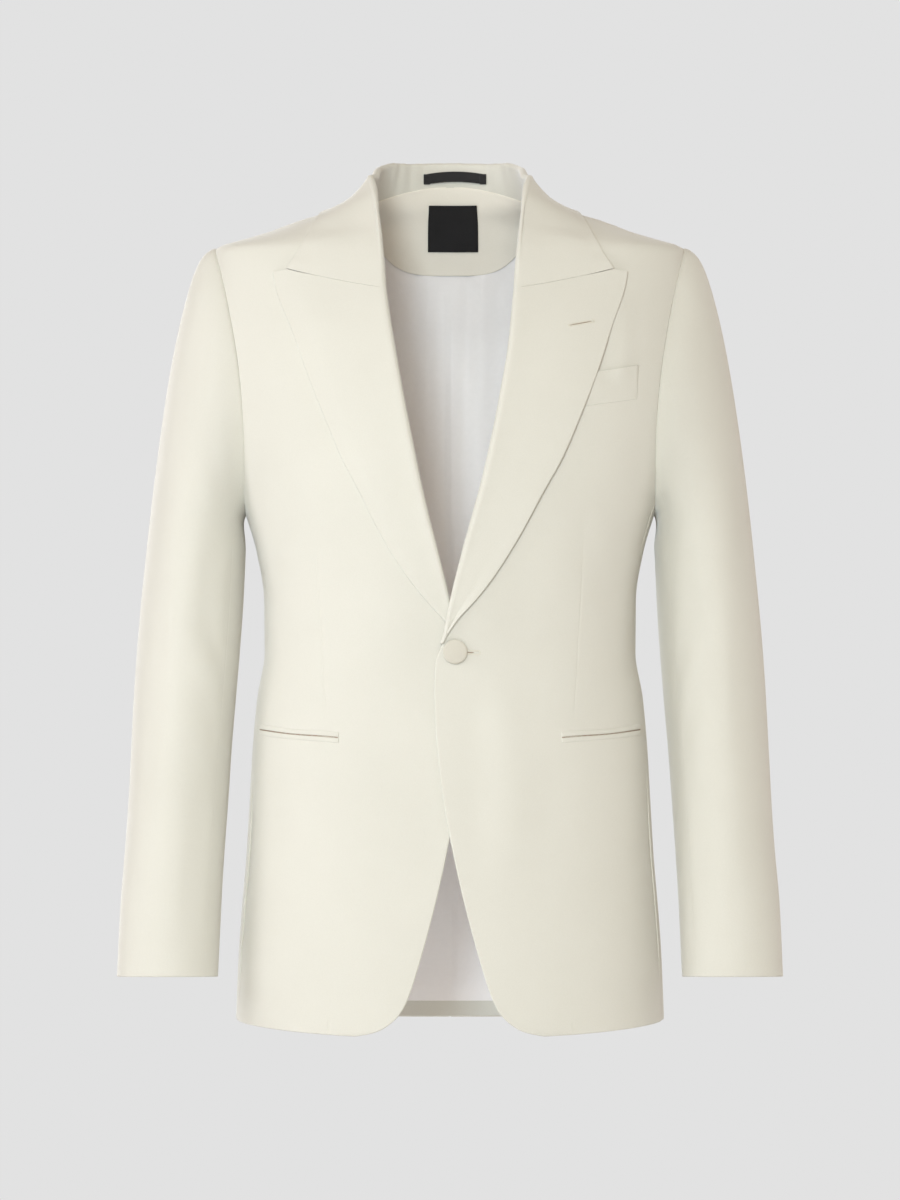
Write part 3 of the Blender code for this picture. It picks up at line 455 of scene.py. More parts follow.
def link_piece(data):
    """An object of the mesh's name that rides on the jacket."""
    data.validate()
    data.shade_smooth()
    piece = add_object(data.name, data)
    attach(piece, "root")
    return piece


def make_piece(name, mesh, outside, inside=None, rim=None):
    """A piece from a mesh in millimetres, with the materials of its sides and its rim."""
    points, faces, side, uv = mesh
    data = bpy.data.meshes.new(name)
    data.vertices.add(len(points))
    data.vertices.foreach_set("co", (points * MM).astype(np.float32).ravel())
    data.loops.add(faces.size)
    data.loops.foreach_set("vertex_index", faces.astype(np.int32).ravel())
    data.polygons.add(len(faces))
    starts = np.arange(len(faces), dtype=np.int32) * faces.shape[1]
    data.polygons.foreach_set("loop_start", starts)
    for material in (outside, inside or outside, rim or outside):
        data.materials.append(material)
    data.polygons.foreach_set("material_index", side.astype(np.int32))
    layer = data.uv_layers.new(name="cloth")
    layer.data.foreach_set("uv", uv[faces.ravel()].astype(np.float32).ravel())
    data.update()
    return link_piece(data)


# ---------------------------------------------------------------- fronts, sides and back

# Rows of a front, close together at the hem's round corner and where the armhole turns over
# at its top: heights above the front's lowest row, then heights
FRONT_LOWEST = HEM_HEIGHT - 0.4
HEM_ROWS = np.array([
    0.0, 0.25, 0.7, 1.3, 2.2, 3.4, 4.9, 6.8, 9.2, 12.2, 15.8, 20.0, 24.8, 30.0, 35.5,
])
FRONT_ROWS = np.concatenate([
    FRONT_LOWEST + HEM_ROWS, np.arange(-704.0, -46.0, 5.5),
    [-45.6, -43.4, -42.2, -41.6, -41.3], np.arange(-38.5, -3.0, 5.5), [0.2, 1.3],
])

# Creases on a front: x and height of both ends, half width, depth, bow
BOTH_FRONTS = (
    (165.0, -385.0, 60.0, -408.0, 11.0, -0.6, 5.0), (158.0, -430.0, 48.0, -425.0, 13.0, 0.5, -6.0),
    (120.0, -500.0, 140.0, -735.0, 20.0, 0.9, 6.0), (172.0, -520.0, 178.0, -735.0, 15.0, -0.9, 5.0),
    (96.0, -45.0, 168.0, -60.0, 10.0, -0.5, 3.0),
)
UPPER_FRONT = (
    (150.0, -170.0, 151.0, -84.0, 7.5, 1.7, -2.0), (139.0, -122.0, 137.0, -170.0, 6.0, -0.8, 0.0),
    (160.0, -190.0, 176.0, -330.0, 14.0, -0.7, 6.0),
    (117.0, -280.0, 121.0, -352.0, 10.0, -0.9, 2.0),
    (150.0, -318.0, 147.0, -392.0, 10.0, -0.9, -2.0), (24.0, -428.0, 20.0, -620.0, 15.0, -1.5, 0.0),
    (38.0, -408.0, 50.0, -610.0, 17.0, 1.5, 8.0), (34.0, -372.0, 66.0, -330.0, 8.0, 0.8, 3.0),
    (46.0, -395.0, 96.0, -398.0, 8.0, -0.6, -4.0), (84.0, -470.0, 92.0, -735.0, 20.0, -0.7, -6.0),
)
UNDER_FRONT = (
    (150.0, -95.0, 172.0, -330.0, 15.0, 0.9, 10.0),
    (128.0, -190.0, 158.0, -360.0, 12.0, -0.8, -6.0),
    (60.0, -470.0, 75.0, -735.0, 24.0, -0.7, -6.0),
)
# The turned hem's upper edge: height above the hem, half width, depth
HEM_LINE = ((34.0, 3.0, -0.35),)
EDGE_RIDGE = 2.2
EDGE_RIDGE_REACH = 22.0

# The front dart: height, distance from the centre
DART_LINE = np.array([(-455.0, 110.3), (-322.0, 117.8), (-250.0, 119.0)])
DART_DEPTH = 0.3
# Columns beside the dart's line, in degrees
DART_STEP = 0.35
DART_COLUMNS = DART_STEP * np.array([-2.2, -1.2, -0.6, 0.0, 0.6, 1.2, 2.2])


def dart_share(height):
    """How deep the dart is: a fine sewn line that runs out towards the chest."""
    return smooth((height + 466.0) / 16.0) * smooth((-290.0 - height) / 60.0)


def above_hem(height, reach):
    return smooth((height - HEM_HEIGHT) / reach)


def front_mesh(upper):
    rows = FRONT_ROWS[:, None]
    outer = -(outer_angle(rows, ARMHOLE_FRONT_ANGLE, FRONT_SEAM_ANGLE) + 0.02)
    outer = np.where(rows > armhole_height(np.array(FRONT_SEAM_ANGLE)), outer - 0.12, outer)
    inner_x = front_inner_x(rows, upper)
    # above the gorge the front's edge runs on under the collar's seam
    inner = angle_at(inner_x + 0.7 - 1.0 * smooth((rows - GORGE_HEIGHT) / 10.0), rows, -1)
    dart = angle_at(np.interp(rows, *DART_LINE.T), rows, -1)
    dart = np.maximum(np.minimum(dart, outer - 6.0), inner + 6.0)
    # columns: the edge, the dart line with close neighbours, the seam
    first = even_shares(30, 0.008)
    second = even_shares(18, 0.004)
    left = inner + (dart - inner) * first[None, :-1]
    left = np.minimum(left, dart + DART_COLUMNS[0] - 0.05)
    right = dart + (outer - dart) * second[None, 1:]
    right = np.maximum(right, dart + DART_COLUMNS[-1] + 0.05)
    angle = np.concatenate([left, dart + DART_COLUMNS[None, :], right], axis=1)
    height = hem_raised(rows + 0 * angle, angle)
    points, normals = body_surface(angle, height)
    x = points[..., 0]
    relief = -DART_DEPTH * band((angle - dart) / DART_STEP, 0.75) * dart_share(height)
    soft = creases(BOTH_FRONTS + (UPPER_FRONT if upper else UNDER_FRONT), x, height)
    soft = soft + 0.45 * ripple(x, height, 150.0, 3 + upper)
    inside = smooth((x - inner_x) / 30.0) * above_hem(height, 60.0)
    under_lapel = 1 - 0.7 * smooth((height + 380.0) / 60.0) * smooth((130.0 - x) / 40.0)
    relief = relief + soft * inside * under_lapel
    relief = relief + bumps(HEM_LINE, height - HEM_HEIGHT) * inside
    # the closed fronts stand up to a low ridge along the opening's line
    line_x = monotone_curve(FRONT_EDGE, 1, height) * (1 if upper else -1)
    below_button = smooth((-395.0 - height) / 40.0) * smooth((height + 700.0) / 90.0)
    from_line = np.abs(x - line_x) / EDGE_RIDGE_REACH
    relief = relief + EDGE_RIDGE * np.exp(-from_line) * below_button
    points = points + normals * overlap_lift(x, height, upper)[..., None]
    return shell_mesh(points, normals, WALL, (1, 0.25, 0.45, 1), relief=relief)


# Creases on the side body, the same, but across is the angle times SIDE_MM
SIDE_MM = 2.2
SIDE_CREASES = (
    (-8.0, -420.0, 26.0, -400.0, 9.0, -0.6, 0.0),
    (-4.0, -500.0, 0.0, -730.0, 9.0, -0.7, 1.0),
    (18.0, -480.0, 20.0, -730.0, 9.0, 0.8, 1.0),
)


def side_mesh():
    columns = even_shares(22, 0.004)[None, :]
    first, last = FRONT_SEAM_ANGLE + 0.02, BACK_SEAM_ANGLE - 0.02
    angle = first + (last - first) * columns
    top = armhole_height(angle) - 0.9
    rise = even_shares(88, 0.003)[:, None]
    height = hem_raised(HEM_HEIGHT + (top - HEM_HEIGHT) * rise, angle)
    points, normals = body_surface(angle, height)
    soft = creases(SIDE_CREASES, angle * SIDE_MM, height)
    soft = soft + 0.4 * ripple(angle * 3, height, 140.0, 8)
    fade = above_hem(height, 50.0) * smooth((last - angle) / 8) * smooth((angle - first) / 8)
    return shell_mesh(points, normals, WALL, (1, 0.25, 0.45, 0.25), relief=soft * fade)


# Creases on the back: angle and height of both ends, half width, depth, bow
BACK_MM = 2.4
BACK_CREASES = (
    (62.0, -70.0, 48.0, -220.0, 8.0, 1.0, 3.0), (82.0, -95.0, 66.0, -300.0, 10.0, -0.9, -3.0),
    (40.0, -395.0, 84.0, -420.0, 10.0, -1.0, 6.0), (44.0, -440.0, 86.0, -452.0, 11.0, 0.9, -5.0),
    (60.0, -500.0, 54.0, -735.0, 9.0, 1.2, 2.0), (78.0, -520.0, 76.0, -735.0, 9.0, -0.9, -2.0),
    (36.0, -320.0, 52.0, -372.0, 9.0, -0.8, 3.0),
)
BACK_ROWS = np.concatenate([
    HEM_HEIGHT + HEM_ROWS[[0, 3, 6, 9]], np.arange(-727.0, -44.0, 6.2),
    [-43.2, -42.1, -41.6, -41.3, -36.5, -31.5, -26.5, -21.5], np.arange(-17.0, -4.0, 4.0),
    [-1.5, 0.2, 1.3],
])


def back_mesh(seed):
    rows = BACK_ROWS[:, None]
    outer = outer_angle(rows, ARMHOLE_BACK_ANGLE, BACK_SEAM_ANGLE) + 0.02
    outer = np.where(rows > armhole_height(np.array(BACK_SEAM_ANGLE)), outer + 0.12, outer)
    columns = even_shares(44, 0.003)[None, ::-1]
    centre = angle_at(0.08, rows, 1)
    angle = centre + (outer - centre) * columns
    height = hem_raised(rows + 0 * angle, angle)
    height[-1] = neck_height(angle[-1]) - 0.4
    for k, share in ((-2, 0.93), (-3, 0.62), (-4, 0.3)):
        height[k] = height[-5] + (height[-1] - height[-5]) * share
    points, normals = body_surface(angle, height)
    x = points[..., 0]
    table = np.array(BACK_CREASES) * (BACK_MM, 1, BACK_MM, 1, 1, 1, 1)
    soft = creases(table, angle * BACK_MM, height) + 0.5 * ripple(x, height, 160.0, seed)
    fade = above_hem(height, 50.0) * smooth((x - 1.0) / 14.0) * smooth((-height - 20.0) / 50.0)
    fade = fade * smooth((angle - outer) / 8.0)
    return shell_mesh(points, normals, WALL, SEWN, relief=soft * fade)


# ---------------------------------------------------------------- lapels and collar

FOLDED_WALL = 1.8
LAPEL_BELLY = 0.9
FOLDED_WAVE = 0.25
LEG_SHARES = (0.0, 0.015, 0.5, 1.0)
FOLD_TURNS = np.radians(np.linspace(0, 180, 15)[1:-1])


def folded_sheet(start, leg, out, leg_length, radius, fall):
    """Cloth that stands up from its seam, turns over a round fold and falls along fall."""
    strips = [start + leg * (leg_length * share)[:, None] for share in LEG_SHARES]
    middle = start + leg * leg_length[:, None] + out * radius[:, None]
    for turn in FOLD_TURNS:
        strips.append(middle + (leg * np.sin(turn) - out * np.cos(turn)) * radius[:, None])
    return np.concatenate([np.stack(strips, axis=1), fall], axis=1)


def gorge_line(share, drop):
    seam_x = front_inner_x(np.array(GORGE_HEIGHT), True) - 0.3
    seam_angle = angle_at(seam_x, GORGE_HEIGHT, -1)
    peak_angle = angle_at(LAPEL_EDGE[-1, 1], LAPEL_EDGE[-1, 0], -1)
    corner_angle, corner_height = COLLAR_CORNER
    corner_share = (corner_angle - seam_angle) / (peak_angle - seam_angle)
    angle = seam_angle + (peak_angle - seam_angle) * share
    height = np.interp(
        share, (0, corner_share, 1), (GORGE_HEIGHT, corner_height, LAPEL_EDGE[-1, 0])
    )
    return body_point(angle, height)[..., 0], height - drop


def lapel_mesh(upper):
    rows = even_shares(76, 0.001)
    lowest = LAPEL_FOOT_UPPER if upper else LAPEL_FOOT_UNDER
    roll_height = lowest + (GORGE_HEIGHT + 0.46 - lowest) * rows
    edge_foot = max(LAPEL_EDGE[0, 0], lowest + 0.9)
    edge_height = edge_foot + (LAPEL_EDGE[-1, 0] - GORGE_GAP - edge_foot) * rows
    seam_x = front_inner_x(roll_height, upper) - 0.3
    edge_x = monotone_curve(LAPEL_EDGE, 1, edge_height) + centre_shift(edge_height, upper)
    start, normals = front_surface(seam_x, roll_height, upper)
    inboard, _ = front_surface(seam_x - 3.0, roll_height, upper)
    leg = unit(inboard - start)
    share = spread(0.02, 1, 1 / 34, 0.012)
    x = seam_x[:, None] + (edge_x - seam_x)[:, None] * share
    height = roll_height[:, None] + (edge_height - roll_height)[:, None] * share
    # the gorge seam closes towards the roll and opens a little at the notch
    gorge_x, gorge_height = gorge_line(share, 0.6 * smooth((share - 0.5) / 0.25) - 0.46)
    towards_gorge = rows[:, None] ** 6
    x = x + (gorge_x - x[-1]) * towards_gorge
    height = height + (gorge_height - height[-1]) * towards_gorge
    surface, surface_normals = front_surface(x, height, upper)
    radius = fold_radius(roll_height)
    clear = opening(height, PRESSED_CLEAR, LAPEL_CLEAR)
    if not upper:
        clear = clear - (clear - UNDER_EDGE_CLEAR) * smooth((share - 0.7) / 0.3)
    extra = (2 * radius[:, None] - clear) * (1 - share) ** 4
    # the upper lapel's outer edge lifts a little from the chest
    lifted = EDGE_LIFT * smooth((share - 0.5) / 0.5) * smooth((-110.0 - height) / 120.0)
    extra = extra + lifted * smooth((height - LAPEL_FOOT_UPPER - 0.5) / 12.0) * upper
    below_gorge = smooth(rows * 3)[:, None] * smooth((1 - rows) * 7)[:, None]
    belly = LAPEL_BELLY * np.sin(np.pi * share) ** 2 * below_gorge
    wave = FOLDED_WAVE * ripple(x, height, 120.0, 21 + upper)
    wave = wave * smooth((1 - share) * 8) * below_gorge
    fall = surface + surface_normals * (clear + extra + belly + wave)[..., None]
    sheet = folded_sheet(start, leg, normals, np.full(len(rows), FOLD_LEG), radius, fall)
    return shell_mesh(sheet, grid_normals(sheet), FOLDED_WALL, (1, 1, 0.02, 0.45))


def collar_sheet(half_count, across):
    """The middle of the collar's cloth: half_count rows to a side, across the fall's shares."""
    last = len(COLLAR_STATIONS) - 1
    position = np.append(np.linspace(0, last - 0.006, half_count - 1), last)
    table = np.column_stack([np.arange(len(COLLAR_STATIONS)), COLLAR_STATIONS])
    seam_angle, seam_height, stand, lying_down, edge_x, edge_height, drop = (
        monotone_curve(table, column, position) for column in range(1, 8)
    )
    edge_angle = angle_at(edge_x, edge_height, np.where(position > RIDGE_STATION, -1, 1))
    neck_x = front_inner_x(seam_height, True) - NECK_GAP + 1.7 * smooth(position - 6.0)
    seam_angle = np.where(seam_angle < -20, angle_at(neck_x, seam_height, -1), seam_angle)
    start = body_point(seam_angle, seam_height)
    normals = body_normal(seam_angle, seam_height)
    upright = np.clip(1 + seam_angle / 50, 0, 1)[:, None]
    start = start + UP * upright
    towards_neck = unit(np.stack(
        [-start[:, 0], -np.clip(start[:, 1] - 20, 0, None), 0 * start[:, 0]], axis=-1
    ))
    along = body_point(seam_angle - 1, seam_height) - body_point(seam_angle, seam_height)
    flat = unit(np.where(seam_angle[:, None] < -20, along, towards_neck))
    leg = unit(UP * (1 - lying_down)[:, None] + flat * lying_down[:, None])
    out = unit(normals - leg * (normals * leg).sum(axis=-1, keepdims=True))
    start = start + towards_neck * upright * 1.3
    radius = FOLD_RADIUS + (ROLL_RADIUS - FOLD_RADIUS) * smooth((position - 4.5) / 2.0)
    share = across[None, :]
    angle = seam_angle[:, None] + (edge_angle - seam_angle)[:, None] * share
    height = seam_height[:, None] + (edge_height - seam_height)[:, None] * share
    over_ridge = np.exp(-((position - RIDGE_STATION - 0.3) ** 2)) * RIDGE_CLEAR
    # the outer edge is pressed down on the shoulder, but not at the gorge
    pressed = smooth((share - 0.5) / 0.5) * smooth(6.6 - position)[:, None]
    clear = LAPEL_CLEAR + over_ridge[:, None] - (LAPEL_CLEAR - COLLAR_EDGE_CLEAR) * pressed
    clear = clear[..., None]
    lying = body_point(angle, height) + body_normal(angle, height) * clear
    top = start + leg * stand[:, None] + out * (2 * radius)[:, None]
    raised = (top - lying[:, 0])[:, None, :] * ((1 - share) ** drop[:, None])[..., None]
    sheet = folded_sheet(start, leg, out, stand, radius, lying + raised)
    return np.concatenate([sheet[:0:-1] * MIRRORED, sheet])


# Puckers inside the collar's stand: x, half width, depth
PUCKERS = (
    (-56.0, 2.2, 0.8), (-50.0, 1.8, -0.7), (-44.0, 2.0, 0.7), (-37.0, 1.8, -0.8),
    (-30.0, 2.2, 0.5), (-6.0, 2.0, -0.5), (8.0, 2.0, 0.6), (34.0, 2.2, -0.7),
    (42.0, 2.0, 0.8), (50.0, 1.8, -0.6), (57.0, 2.2, 0.7),
)


def collar_mesh():
    across = even_shares(20, 0.02)
    sheet = collar_sheet(110, across)[::-1]
    columns = sheet.shape[1]
    column = np.arange(columns)[None, :]
    on_stand = smooth((column - 0.8) / 1.4) * (1 - smooth((column - 5.0) / 8.0))
    puckers = bumps(PUCKERS, sheet[:, 1:2, 0]) * on_stand
    wave = FOLDED_WAVE * ripple(sheet[..., 0], sheet[..., 1] + sheet[..., 2], 70.0, 30)
    middle = smooth((column - 1.0) / 5.0) * smooth((columns - 1 - column) / 6.0)
    normals, reach = grid_normals(sheet), (0.02, 1, 0.02, 0.45)
    return shell_mesh(sheet, normals, FOLDED_WALL, reach, relief=puckers + wave * middle)


# ---------------------------------------------------------------- sleeves

CUFF_HEIGHT = SLEEVE_SECTIONS[0, 0]
CROWN_HEIGHT = SLEEVE_SECTIONS[-1, 0]
ARMHOLE_CLEAR = 2.1
TUCK_CLEAR = 0.5
HEAD_LIFT = 0.9
TUCK_DROP = 0.9


def sleeve_ring(height, turn):
    outer, inner, middle_y, half_depth = (
        monotone_curve(SLEEVE_SECTIONS, column, height) for column in range(1, 5)
    )
    turn = np.radians(turn)
    x = (outer + inner) / 2 + (outer - inner) / 2 * np.cos(turn)
    y = middle_y - half_depth * np.sin(turn)
    near_cuff = np.clip((CUFF_HEIGHT + CUFF_TILT_REACH - height) / CUFF_TILT_REACH, 0, 1)
    z = height - CUFF_TILT * near_cuff * (y - middle_y)
    return np.stack([x, y, z], axis=-1)


def sleeve_surface(turn, heights, shares):
    """Rings up to the crown, then the crown's curves to the armhole, tucked in at the end."""
    turn = turn[None, :]
    lower = sleeve_ring(heights[:, None], turn)
    base = sleeve_ring(np.array([[CROWN_HEIGHT]]), turn)[0]
    rising = unit(base - sleeve_ring(np.array([[CROWN_HEIGHT - 10]]), turn)[0])
    loop = armhole_loop(turn[0])
    radians = np.radians(turn[0])
    top_share, front_share = np.cos(radians), np.sin(radians)
    away = unit(np.stack([
        ARMHOLE_AWAY + ARMHOLE_AWAY_TOP * top_share,
        -ARMHOLE_FORWARD * front_share,
        ARMHOLE_RISE_TOP * top_share - ARMHOLE_DROP,
    ], axis=-1))
    end = loop + away * ARMHOLE_CLEAR
    length = np.linalg.norm(end - base, axis=-1, keepdims=True)
    first = base + rising * 0.36 * length
    second = end + away * np.minimum(CROWN_REACH, 0.3 * length)
    crown = []
    for share in shares[1:]:
        crown.append(
            base * (1 - share) ** 3
            + first * 3 * share * (1 - share) ** 2
            + second * 3 * share**2 * (1 - share)
            + end * share**3
        )
    crown.append(loop + away * TUCK_CLEAR)
    return np.concatenate([lower, np.stack(crown)])


# Creases on a sleeve: turn and row height of both ends, half width, depth, bow. The turn is
# counted in degrees times TURN_MM, about a millimetre each; heights above CROWN_HEIGHT run on
# up the crown.
TURN_MM = 0.85
CROWN_RISE = 255.0
SLEEVE_CREASES = (
    (118.0, -420.0, 78.0, -345.0, 9.0, -1.3, 4.0), (124.0, -452.0, 82.0, -398.0, 9.0, 1.1, 4.0),
    (122.0, -490.0, 92.0, -446.0, 8.0, -1.1, 3.0), (60.0, -330.0, 70.0, -660.0, 12.0, 0.9, 6.0),
    (96.0, -300.0, 104.0, -420.0, 10.0, -1.2, -5.0), (30.0, -250.0, 44.0, -560.0, 14.0, -0.8, 8.0),
    (100.0, -520.0, 96.0, -690.0, 9.0, -1.0, 3.0), (-60.0, -400.0, -30.0, -330.0, 10.0, -1.0, 4.0),
    (-70.0, -440.0, -36.0, -400.0, 10.0, 0.9, 3.0), (-20.0, -470.0, -14.0, -690.0, 12.0, 0.8, -5.0),
    (-66.0, -540.0, -60.0, -690.0, 9.0, -0.9, 3.0),
)
# Dimples along the sleeve head: turn, half width in degrees, depth
HEAD_DIMPLES = (
    (-46.0, 5.0, -0.5), (-30.0, 5.0, 0.5), (-12.0, 6.0, -0.4), (8.0, 6.0, 0.5),
    (26.0, 5.0, -0.6), (44.0, 5.0, 0.5), (62.0, 5.0, -0.4),
)


def sleeve_mesh(from_turn, to_turn, step, seed):
    turn = spread(from_turn + 0.03, to_turn - 0.03, step, 1.3)
    heights = np.concatenate([
        CUFF_HEIGHT + np.array([0.0, 0.8, 2.0]), np.arange(-690.0, -318.0, 6.0), [CROWN_HEIGHT]
    ])
    shares = np.linspace(0, 1, 40)
    points = sleeve_surface(turn, heights, shares)
    before = sleeve_surface(turn - 1.0, heights, shares)
    after = sleeve_surface(turn + 1.0, heights, shares)
    up = np.gradient(points, axis=0)
    normals = unit(np.cross(up, after - before))
    across = turn[None, :] * TURN_MM
    up_crown = CROWN_HEIGHT + CROWN_RISE * np.append(shares[1:], 1.0)
    along = np.concatenate([heights, up_crown])[:, None]
    soft = creases(SLEEVE_CREASES, across, along)
    soft = soft + 0.55 * ripple(across, along, 120.0, seed)
    near_cuff = smooth((along - CUFF_HEIGHT) / 60.0)
    near_seam = smooth((across - across[:, :1]) / 9.0) * smooth((across[:, -1:] - across) / 9.0)
    share = np.concatenate([0 * heights, shares[1:], [1.0]])[:, None]
    relief = soft * near_cuff * near_seam * (1 - 0.8 * smooth((share - 0.6) / 0.4))
    head = band(share - 0.86, 0.13) * np.cos(np.radians(np.clip(turn, -90, 90)))[None, :]
    relief = relief + head * (HEAD_LIFT + bumps(HEAD_DIMPLES, turn[None, :]))
    relief[-1] -= TUCK_DROP
    return shell_mesh(
        points[:, ::-1], normals[:, ::-1], WALL, SEWN, relief=relief[:, ::-1]
    )


# ---------------------------------------------------------------- pockets, button, stitches


class Face:
    """The outer face of a cloth piece, to seat smaller things on it.

    A call with x and height gives points and normals there, from the nearest few corners.
    """

    def __init__(self, mesh):
        points, faces, side, _ = mesh
        corners = faces[side == 0]
        used = np.unique(corners)
        quads = points[corners]
        turned = np.cross(quads[:, 2] - quads[:, 0], quads[:, 3] - quads[:, 1])
        normals = np.zeros_like(points)
        for k in range(4):
            np.add.at(normals, corners[:, k], turned)
        self.points, self.normals = points[used], unit(normals[used])

    def __call__(self, x, height):
        x, height = np.broadcast_arrays(x, height)
        points = np.empty(x.shape + (3,))
        normals = np.empty(x.shape + (3,))
        for spot in np.ndindex(x.shape):
            dx = x[spot] - self.points[:, 0]
            dz = height[spot] - self.points[:, 2]
            near = np.argpartition(dx**2 + dz**2, 5)[:5]
            dx, dz, facing = dx[near], dz[near], self.normals[near]
            y = self.points[near, 1] - (facing[:, 0] * dx + facing[:, 2] * dz) / facing[:, 1]
            share = 1 / (dx**2 + dz**2 + 0.5)
            share = share / share.sum()
            points[spot] = (x[spot], (y * share).sum(), height[spot])
            normals[spot] = unit((facing * share[:, None]).sum(axis=0))
        return points, normals


def raised_mesh(base, normals, height):
    """A low closed form on a surface: sunk a little below base, its top at height above it."""
    rows, columns = base.shape[:2]
    top = base + normals * np.broadcast_to(height, base.shape[:2])[..., None]
    low = base - normals * 0.25
    points, faces, side, uv = shell_mesh((top + low) / 2, normals, 0.02, (0.5, 0.5, 0.5, 0.5))
    points[:rows * columns] = top.reshape(-1, 3)
    points[rows * columns:2 * rows * columns] = low.reshape(-1, 3)
    return points, faces, side, uv


# Across a hip pocket from below: distance from the mouth, height above the front
JETS = np.array([
    (-5.0, 0.05), (-4.75, 0.3), (-4.3, 0.55), (-3.4, 0.75), (-2.4, 0.85), (-1.5, 0.85),
    (-0.9, 0.7), (-0.55, 0.4), (-0.35, 0.0), (0.0, -0.1), (0.35, 0.0), (0.55, 0.45),
    (0.9, 0.8), (1.5, 0.98), (2.4, 0.95), (3.4, 0.8), (4.3, 0.55), (4.75, 0.3), (5.0, 0.05),
])
POCKET_INNER_END = (98.5, -481.5)
POCKET_LENGTH = 72.5
POCKET_RISE = 5.5


def pocket_mesh(on_cloth):
    """Two jets, pressed flat, with the mouth between them as a shallow groove and a strip of
    painted shade.
    """
    share = even_shares(48, 0.008)[None, :]
    offset, proud = JETS[:, :1], JETS[:, 1:]
    along = share * POCKET_LENGTH
    from_end = np.minimum(along, POCKET_LENGTH - along)
    bow = 0.35 * np.sin(share * 7.0 + 0.6)
    open_mouth = smooth((from_end - 1.0) / 2.5)
    height = POCKET_INNER_END[1] + POCKET_RISE * share + bow
    height = height + offset * (0.96 + 0.04 * np.sin(9 * share))
    x = POCKET_INNER_END[0] + along + 0 * height
    points, normals = on_cloth(x, height)
    shut = np.where(np.abs(offset) < 0.9, 0.55, proud)
    lift = shut * (1 - open_mouth) + proud * open_mouth
    lift = lift * smooth((from_end + 0.5) / 1.2)
    points, faces, _, uv = raised_mesh(points + normals * 0.05, normals, lift)
    rows, columns = height.shape
    # the mouth itself is a strip of its own, coloured dark as painted shade for the shadow inside
    # the slit
    row = np.arange(len(faces)) // (columns - 1)
    column = np.arange(len(faces)) % (columns - 1)
    top = np.arange(len(faces)) < (rows - 1) * (columns - 1)
    painted_mouth_shade = top & (row >= 7) & (row <= 10) & (column >= 1) & (column <= columns - 3)
    return points, faces, np.where(painted_mouth_shade, 1, 0), uv


WELT_INNER_X = 92.0
WELT_LENGTH = 75.0
WELT_DEPTH = 31.0
WELT_TOP = -160.5
WELT_SLANT = 11.0


def welt_mesh(on_cloth):
    """The breast pocket's slanting welt; its inner end passes under the lapel."""
    share = even_shares(30, 0.012)[None, :]
    rise = even_shares(16, 0.03)[:, None]
    x = WELT_INNER_X + WELT_LENGTH * share + rise
    height = WELT_TOP + WELT_SLANT * share - WELT_DEPTH * (1 - rise)
    height = height - 1.2 * np.sin(np.pi * share) * rise
    points, normals = on_cloth(x, height)
    # flush at the bottom and prouder towards the top, with a sewn-down end
    from_end = (1 - share) * WELT_LENGTH
    proud = -0.2 + (0.3 + 1.7 * rise) * smooth((from_end + 0.4) / 1.4)
    return raised_mesh(points, normals, proud)


# The covered button from its middle out and under: radius, height above its seat
BUTTON_PROFILE = (
    (0.0, 4.10), (1.5, 4.09), (3.0, 4.06), (4.5, 4.0), (6.0, 3.92), (7.2, 3.83),
    (8.2, 3.74), (9.0, 3.64), (9.7, 3.48), (10.25, 3.2), (10.65, 2.8), (10.85, 2.3),
    (10.8, 1.7), (10.3, 1.1), (9.5, 0.75), (8.0, 0.6), (3.4, 0.55), (3.0, 0.4), (3.0, 0.0),
)
BUTTON_AT = (4.5, -404.7)
BUTTON_SEAT = 0.3
BUTTON_SEGMENTS = 72
BUTTON_PLEATS = 18


def make_button(on_cloth, outside):
    """A cloth-covered button: a shallow dome, a soft rim and a tucked underside."""
    centre, normal = (found[0] for found in on_cloth(*np.array(BUTTON_AT)[:, None]))
    across = unit(np.cross(UP, normal))
    up = np.cross(normal, across)
    base = centre + normal * BUTTON_SEAT
    turn = np.linspace(0, 2 * np.pi, BUTTON_SEGMENTS, endpoint=False)
    round_uv = np.stack([np.cos(turn), np.sin(turn)], axis=-1)
    points, uv = [base + normal * BUTTON_PROFILE[0][1]], [(0.0, 0.0)]
    for radius, level in BUTTON_PROFILE[1:]:
        pleats = 0.06 * np.sin(turn * BUTTON_PLEATS) * smooth((radius - 8.5) / 2.0)
        out = np.outer(np.cos(turn), across) + np.outer(np.sin(turn), up)
        points.extend(base + normal * level + out * (radius + pleats)[:, None])
        uv.extend(round_uv * radius * MM)
    points.append(base)
    uv.append((0.0, 0.0))
    faces = []
    last_ring = 1 + (len(BUTTON_PROFILE) - 2) * BUTTON_SEGMENTS
    for k in range(BUTTON_SEGMENTS):
        after = (k + 1) % BUTTON_SEGMENTS
        faces.append((0, 1 + k, 1 + after))
        for a in range(1, last_ring, BUTTON_SEGMENTS):
            b = a + BUTTON_SEGMENTS
            faces.append((a + k, b + k, b + after, a + after))
        faces.append((last_ring + k, len(points) - 1, last_ring + after))
    data = bpy.data.meshes.new("button_cover")
    data.from_pydata([tuple(point) for point in np.array(points) * MM], [], faces)
    layer = data.uv_layers.new(name="cloth")
    for loop in data.loops:
        layer.data[loop.index].uv = uv[loop.vertex_index]
    data.materials.append(outside)
    return link_piece(data)


# Across a buttonhole's ring of stitches: share of its width, height
STITCH_PROFILE = (
    (-0.78, -0.35), (-0.72, 0.1), (-0.45, 0.32), (0.0, 0.42), (0.45, 0.34), (0.72, 0.12),
    (0.78, -0.35),
)


